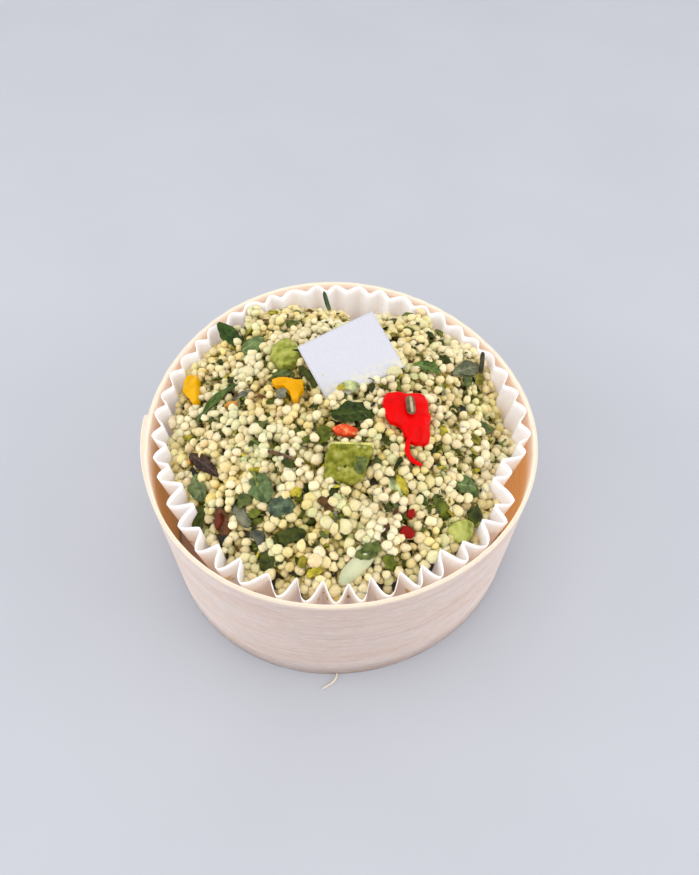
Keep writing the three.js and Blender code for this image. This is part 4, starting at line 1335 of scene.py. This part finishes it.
def hollow_balls(settings):
    """Balls that keep grains out of the hollows between clumps."""
    rng = np.random.default_rng(settings.seed + 5)
    x, y = scatter(rng, HOLLOWS, lambda degrees: heap_edge(degrees) - HOLLOW_CLEAR)
    centres = on_heap(x, y, clump_rise(settings, x, y) - HOLLOW_DEPTH)
    return centres, rng.uniform(*HOLLOW_RADII, HOLLOWS) * MM


def flake_balls(layout):
    """Three small balls along each flake, which keep grains from lying in it."""
    size, places, turns, _ = layout
    along = turns[:, :, 0] * size["length"][:, None] * 0.3
    centres = np.concatenate([places - along, places, places + along])
    return centres, np.tile(np.clip(0.3 * size["width"], 0.3 * MM, 0.8 * MM), 3)


def covers():
    """What lies on the grains: place, turn, length, width, arch, fold and thickness of each larger
    leaf, herb bit and cut piece."""
    found = []
    for size, places, turns, *_ in [*map(leaf_row, LEAVES), herb_bits()]:
        for at in range(len(places)):
            sizes = (float(size[key][at]) for key in COVER_SIZES)
            found.append([places[at], turns[at], *sizes])
    for _, x, y, lift, thick, arch, _, _, corners in CUT_PIECES:
        place, turn = cut_frame(x, y, lift)
        reach = [outline_reach(quarter * np.pi / 2, corners) for quarter in range(4)]
        long, wide = reach[0] + reach[2], reach[1] + reach[3]
        found.append([place, turn, long * MM, wide * MM, arch * MM, -arch * MM, thick * MM])
    return found


def press_down(centre, radius, cover):
    """Lowers each grain under a leaf or cut piece until it only touches the underside. Near the
    border a grain that lies on it stays there."""
    place, turn, long, wide, arch, fold, thick = cover
    local = (centre - place) @ turn
    along, across = 2 * local[:, 0] / long, 2 * local[:, 1] / wide
    above = local[:, 2] + arch * along**2 - fold * across**2
    out = along**2 + across**2
    room = thick / 2 + 1.1 * radius
    on_top = (out > ON_TOP[0]) & (out < ON_TOP[1]) & (above > 0.4 * radius)
    under = (out < 1) & (above > -room) & ~on_top
    centre[under] -= (above + room)[under, None] * turn[:, 2]
    centre[on_top] += np.maximum(room - above, 0)[on_top, None] * turn[:, 2]


def clear_card(centre, radius):
    """Keeps grains out of the card: they lie under it, but over the strip along its lower edge."""
    turn = card_turn()
    local = (centre - np.array(CARD_CENTRE)) @ turn
    half_width, half_height = CARD_SIZE[0] / 2, CARD_SIZE[1] / 2
    inside = (np.abs(local[:, 0]) < half_width + 0.5 * radius) & (np.abs(local[:, 1]) < half_height)
    over = inside & (local[:, 1] < CARD_BURIED - half_height) & (local[:, 2] > -0.2 * MM)
    under = inside & ~over
    room = 0.3 * MM + 0.9 * radius
    centre[over] += np.maximum(room - local[:, 2], 0)[over, None] * turn[:, 2]
    centre[under] += np.minimum(-room - local[:, 2], 0)[under, None] * turn[:, 2]


def close_pairs(centre, everything, reach):
    """Pairs of a grain and another grain or fixed ball that are closer than reach."""
    square = (everything**2).sum(1)
    gap = square[: len(centre), None] + square - 2 * centre @ everything.T
    near, other = np.nonzero(gap < reach**2)
    return near[near != other], other[near != other]


def push_apart(centre, radius, fixed, fixed_radius, pairs):
    """Moves grains that overlap other grains or fixed balls by part of the overlap."""
    near, other = pairs
    everything = np.concatenate([centre, fixed])
    all_radius = np.concatenate([radius, fixed_radius])
    away = centre[near] - everything[other]
    distance = np.maximum(np.linalg.norm(away, axis=1), 0.01 * MM)
    overlap = np.maximum(GRAIN_CONTACT * (radius[near] + all_radius[other]) - distance, 0)
    share_moved = np.where(other < len(centre), PUSH_BY_GRAIN, PUSH_BY_BALL)
    push = away * (share_moved * overlap / distance)[:, None]
    for axis in range(3):
        centre[:, axis] += np.bincount(near, push[:, axis], len(centre))


def hold_in(box, centre, radius, rise):
    """Keeps each grain under the surface of the heap and inside the paper."""
    degrees = np.degrees(np.arctan2(centre[:, 1], centre[:, 0]))
    out = np.hypot(centre[:, 0], centre[:, 1])
    limit = paper_limit(box, degrees, radius)
    centre[:, :2] *= np.minimum(1, limit / np.maximum(out, 0.1 * MM))[:, None]
    top = heap_height(centre[:, 0], centre[:, 1]) + SURFACE_PLAY + rise - radius
    centre[:, 2] = np.minimum(centre[:, 2], top)


def settle(box, centre, radius, rise, fixed, fixed_radius, searches=6, rounds=7):
    """Round by round, pushes grains apart and away from the fixed balls, holds them in the box,
    presses them under leaves and cut pieces and keeps them out of the card. The close pairs are
    searched anew after some rounds."""
    lying = covers()
    for _ in range(searches):
        pairs = close_pairs(centre, np.concatenate([centre, fixed]), PAIR_REACH * radius.mean())
        for _ in range(rounds):
            push_apart(centre, radius, fixed, fixed_radius, pairs)
            hold_in(box, centre, radius, rise)
            for cover in lying:
                press_down(centre, radius, cover)
            clear_card(centre, radius)


def ball_directions(rows, columns):
    """Directions on a sphere, ring by ring from the bottom, then the two poles."""
    up = np.radians(np.linspace(-90, 90, rows + 2)[1:-1])[:, None]
    turn = np.radians(np.arange(columns) * 360 / columns)[None, :] + 0 * up
    ring = np.stack([np.cos(up) * np.cos(turn), np.cos(up) * np.sin(turn), np.sin(up) + 0 * turn], -1)
    return np.concatenate([ring.reshape(-1, 3), [[0, 0, -1], [0, 0, 1]]])


def lumpy_grains(centre, radius, rng, rows=5, columns=8):
    """Grains as uneven balls: radius times the direction over its p-norm, p drawn from 1.7 to 2.6,
    times 1 plus three seeded sines of the direction, stretched and turned at random."""
    directions = ball_directions(rows, columns)
    total = len(centre)
    turns = turn_about(2, rng.uniform(0, 6.3, total)) @ turn_about(0, rng.uniform(0, 6.3, total))
    power_of = rng.uniform(1.7, 2.6, (total, 1))
    norm = (np.abs(directions)[None] ** power_of[..., None]).sum(2) ** (-1 / power_of)
    bumps = rng.normal(0, 1.9, (total, 3, 3))
    sines = np.sin(directions @ bumps + rng.uniform(0, 6.3, (total, 1, 3)))
    swell = 1 + GRAIN_LUMPS * sines.sum(2)
    axes = rng.uniform(0.85, 1.15, (total, 1, 3))
    shape = directions * (0.96 * norm * swell)[..., None] * axes * radius[:, None, None]
    faces = [copies_of_faces(part, total, len(directions)) for part in globe_faces(rows, columns)]
    return put_in_place(shape, centre, turns).reshape(-1, 3), faces


def grain_colours(settings, centre, rng):
    """Colour of each grain: cream, drawn towards golden and greenish in patches, with a few
    toasted ones, painted darker and browner further down as shade, and each a little lighter or darker."""
    x, y = centre[:, 0], centre[:, 1]
    own = rng.random((len(centre), 3))
    gold = smooth_step(0.5 + 0.5 * waves(x, y, rng, GOLDEN_PATCH)) * own[:, 0] ** 0.8
    green = smooth_step(0.4 + 0.5 * waves(x, y, rng, GREENISH_PATCH)) * own[:, 1] ** 1.5
    toast = (own[:, 2] > TOASTED) * 0.6
    colour = np.tile(np.array(settings.cream), (len(centre), 1))
    for amount, target in ((gold, settings.golden), (green, settings.greenish), (toast, settings.tan)):
        colour += amount[:, None] * (np.array(target) - colour)
    # painted shade: grains lower in the layers are darkened
    below = smooth_step((heap_height(x, y) + SHADE_START - centre[:, 2]) / SHADE_DEPTH)[:, None]
    colour *= 1 - below * (1 - np.array(DEEP_SHADE))
    return colour * rng.normal(1, 0.045, (len(centre), 1)).clip(0.85, 1.1)


# ------------------------------------------------------------------ card


def card_turn():
    """The card's rotation."""
    angles = [np.array([np.radians(angle)]) for angle in CARD_TILT]
    return (turn_about(2, angles[2]) @ turn_about(1, angles[1]) @ turn_about(0, angles[0]))[0]


def blank_card(rows=25, cols=31, thickness=0.45 * MM, bend=0.3 * MM):
    """Blank card: a rectangle with a slight bend, height -bend * v^2 across it, with two faces and
    a cut edge, turned to its tilt."""
    u = np.linspace(-1, 1, rows)[:, None]
    v = np.linspace(-1, 1, cols)[None, :]
    x = CARD_SIZE[0] / 2 * v + 0 * u
    y = CARD_SIZE[1] / 2 * u + 0 * v
    bent = -bend * v**2
    heights = [bent + side * thickness / 2 + 0 * u for side in (1, -1)]
    sides = [np.stack([x, y, z], -1).reshape(-1, 3) for z in heights]
    points = np.concatenate(sides) @ card_turn().T + np.array(CARD_CENTRE)
    damp = np.tile(smooth_step((-0.35 - u) / 0.6 + 0 * v - 0.2 * v).ravel(), 2)
    faces = [sheet_faces(rows, cols)[:, ::-1]]
    make_piece(
        "blank_card",
        points,
        faces,
        uncoated_card(),
        "white_card",
        ["label_card"],
        smooth=False,
        damp=damp,
    )


# ------------------------------------------------------------------ stage


def plain_floor(settings, reach=3.0):
    """A flat square of floor."""
    corners = [(-reach, -reach, 0), (reach, -reach, 0), (reach, reach, 0), (-reach, reach, 0)]
    mesh = bpy.data.meshes.new("floor")
    mesh.from_pydata(corners, [], [(0, 1, 2, 3)])
    mesh.materials.append(pale_floor(settings))
    floor = bpy.data.objects.new("floor", mesh)
    bpy.context.scene.collection.objects.link(floor)


def soft_lights(settings):
    """Large lamps above, in front on the left and low at both sides, and an even sky."""
    for name, place, strength in LAMPS:
        light = bpy.data.lights.new(name, "AREA")
        light.size = LAMP_SIZE
        light.energy = strength * settings.lamps
        lamp = bpy.data.objects.new(name, light)
        lamp.location = place
        aim = Vector((0, 0, CROWN)) - Vector(place)
        lamp.rotation_euler = aim.to_track_quat("-Z", "Y").to_euler()
        bpy.context.scene.collection.objects.link(lamp)
    world = bpy.data.worlds.new("studio")
    world.use_nodes = True
    background = world.node_tree.nodes["Background"]
    background.inputs[0].default_value = linear("#f4f5f9")
    background.inputs[1].default_value = settings.sky
    bpy.context.scene.world = world
    bpy.context.scene.view_settings.view_transform = "Standard"


def place_camera(settings):
    """A camera at its place, looking along +Y and down, turned by its roll."""
    data = bpy.data.cameras.new("camera")
    data.lens = settings.lens
    data.clip_start = 5 * MM
    camera = bpy.data.objects.new("camera", data)
    look = Matrix.Rotation(np.radians(90 - CAMERA_DOWN), 4, "X")
    roll = Matrix.Rotation(np.radians(CAMERA_ROLL), 4, "Z")
    camera.matrix_world = Matrix.Translation(CAMERA_PLACE) @ look @ roll
    bpy.context.scene.collection.objects.link(camera)
    bpy.context.scene.camera = camera


# ------------------------------------------------------------------ operators


class TABBOULEH_OT_box(bpy.types.Operator):
    """Makes the veneer band with its frayed fibre and finishes the base."""

    bl_idname = "tabbouleh.box"
    bl_label = "Veneer box"

    def execute(self, context):
        band = veneer_band(context.scene.tabbouleh_box)
        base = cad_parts["box_base"]
        base.data.materials.clear()
        base.data.materials.append(band.data.materials[0])
        frayed_fibre(band.data.materials[0])
        return {"FINISHED"}


class TABBOULEH_OT_liner(bpy.types.Operator):
    """Makes the pleated paper liner."""

    bl_idname = "tabbouleh.liner"
    bl_label = "Paper liner"

    def execute(self, context):
        pleated_liner(context.scene.tabbouleh_box)
        return {"FINISHED"}


class TABBOULEH_OT_salad(bpy.types.Operator):
    """Makes the core of the heap, its grains and the herbs among them."""

    bl_idname = "tabbouleh.salad"
    bl_label = "Couscous and herbs"

    def execute(self, context):
        settings, box = context.scene.tabbouleh_salad, context.scene.tabbouleh_box
        rng = np.random.default_rng(settings.seed)
        flakes = scattered_flakes(settings)
        heap_core(settings.layer - CORE_OVERLAP)
        centre, radius, rise = draw_grains(settings, box, rng)
        fixed = [np.concatenate(both) for both in zip(flake_balls(flakes), hollow_balls(settings))]
        settle(box, centre, radius, rise, *fixed)
        colour = grain_colours(settings, centre, rng)
        couscous = steamed_couscous()
        for number, part in enumerate(np.array_split(np.arange(len(centre)), 2)):
            points, faces = lumpy_grains(centre[part], radius[part], rng)
            each = len(points) // len(part)
            own = np.repeat(colour[part], each, 0)
            make_piece(f"couscous_{number + 1}", points, faces, couscous, "couscous", colour=own)
        herb = fresh_herb()
        larger_leaves(herb, rng)
        herb_piece("herb_bits", herb_bits(), herb, 17, 9, 6)
        herb_piece("herb_flakes", flakes, herb, 7, 5, 7)
        herb_strips(herb)
        return {"FINISHED"}


class TABBOULEH_OT_vegetables(bpy.types.Operator):
    """Makes the cut vegetables."""

    bl_idname = "tabbouleh.vegetables"
    bl_label = "Vegetables"

    def execute(self, context):
        materials = vegetable_materials()
        cut_vegetables(materials)
        red_curl(materials["red_pepper"])
        onion_strip(materials["white_onion"])
        vegetable_bits(materials["red_pepper"])
        return {"FINISHED"}


class TABBOULEH_OT_card(bpy.types.Operator):
    """Makes the blank card."""

    bl_idname = "tabbouleh.card"
    bl_label = "Card"

    def execute(self, context):
        blank_card()
        return {"FINISHED"}


class TABBOULEH_OT_stage(bpy.types.Operator):
    """Makes the floor, the lights and the camera."""

    bl_idname = "tabbouleh.stage"
    bl_label = "Stage"

    def execute(self, context):
        settings = context.scene.tabbouleh_stage
        plain_floor(settings)
        soft_lights(settings)
        place_camera(settings)
        return {"FINISHED"}


class TABBOULEH_PT_panel(bpy.types.Panel):
    """Lists the operators and their settings in the sidebar."""

    bl_idname = "TABBOULEH_PT_panel"
    bl_label = "Tabbouleh"
    bl_space_type = "VIEW_3D"
    bl_region_type = "UI"
    bl_category = "Tabbouleh"

    def draw(self, context):
        for operator in OPERATORS:
            self.layout.operator(operator.bl_idname)
        for name in SETTINGS:
            group = getattr(context.scene, name)
            for key in group.__annotations__:
                self.layout.prop(group, key)


SETTINGS = {
    "tabbouleh_box": BoxSettings,
    "tabbouleh_salad": SaladSettings,
    "tabbouleh_stage": StageSettings,
}
OPERATORS = (
    TABBOULEH_OT_box,
    TABBOULEH_OT_liner,
    TABBOULEH_OT_salad,
    TABBOULEH_OT_vegetables,
    TABBOULEH_OT_card,
    TABBOULEH_OT_stage,
)


def register():
    """Registers the settings, the operators and the panel."""
    for name, group in SETTINGS.items():
        bpy.utils.register_class(group)
        setattr(bpy.types.Scene, name, bpy.props.PointerProperty(type=group))
    for one in (*OPERATORS, TABBOULEH_PT_panel):
        bpy.utils.register_class(one)


def unregister():
    """Takes away what register added."""
    for one in (TABBOULEH_PT_panel, *reversed(OPERATORS)):
        bpy.utils.unregister_class(one)
    for name, group in SETTINGS.items():
        delattr(bpy.types.Scene, name)
        bpy.utils.unregister_class(group)


def main():
    """Registers the add-on and runs every operator."""
    register()
    bpy.ops.tabbouleh.box()
    bpy.ops.tabbouleh.liner()
    bpy.ops.tabbouleh.salad()
    bpy.ops.tabbouleh.vegetables()
    bpy.ops.tabbouleh.card()
    bpy.ops.tabbouleh.stage()
    bpy.context.view_layer.update()


if __name__ == "__main__":
    main()
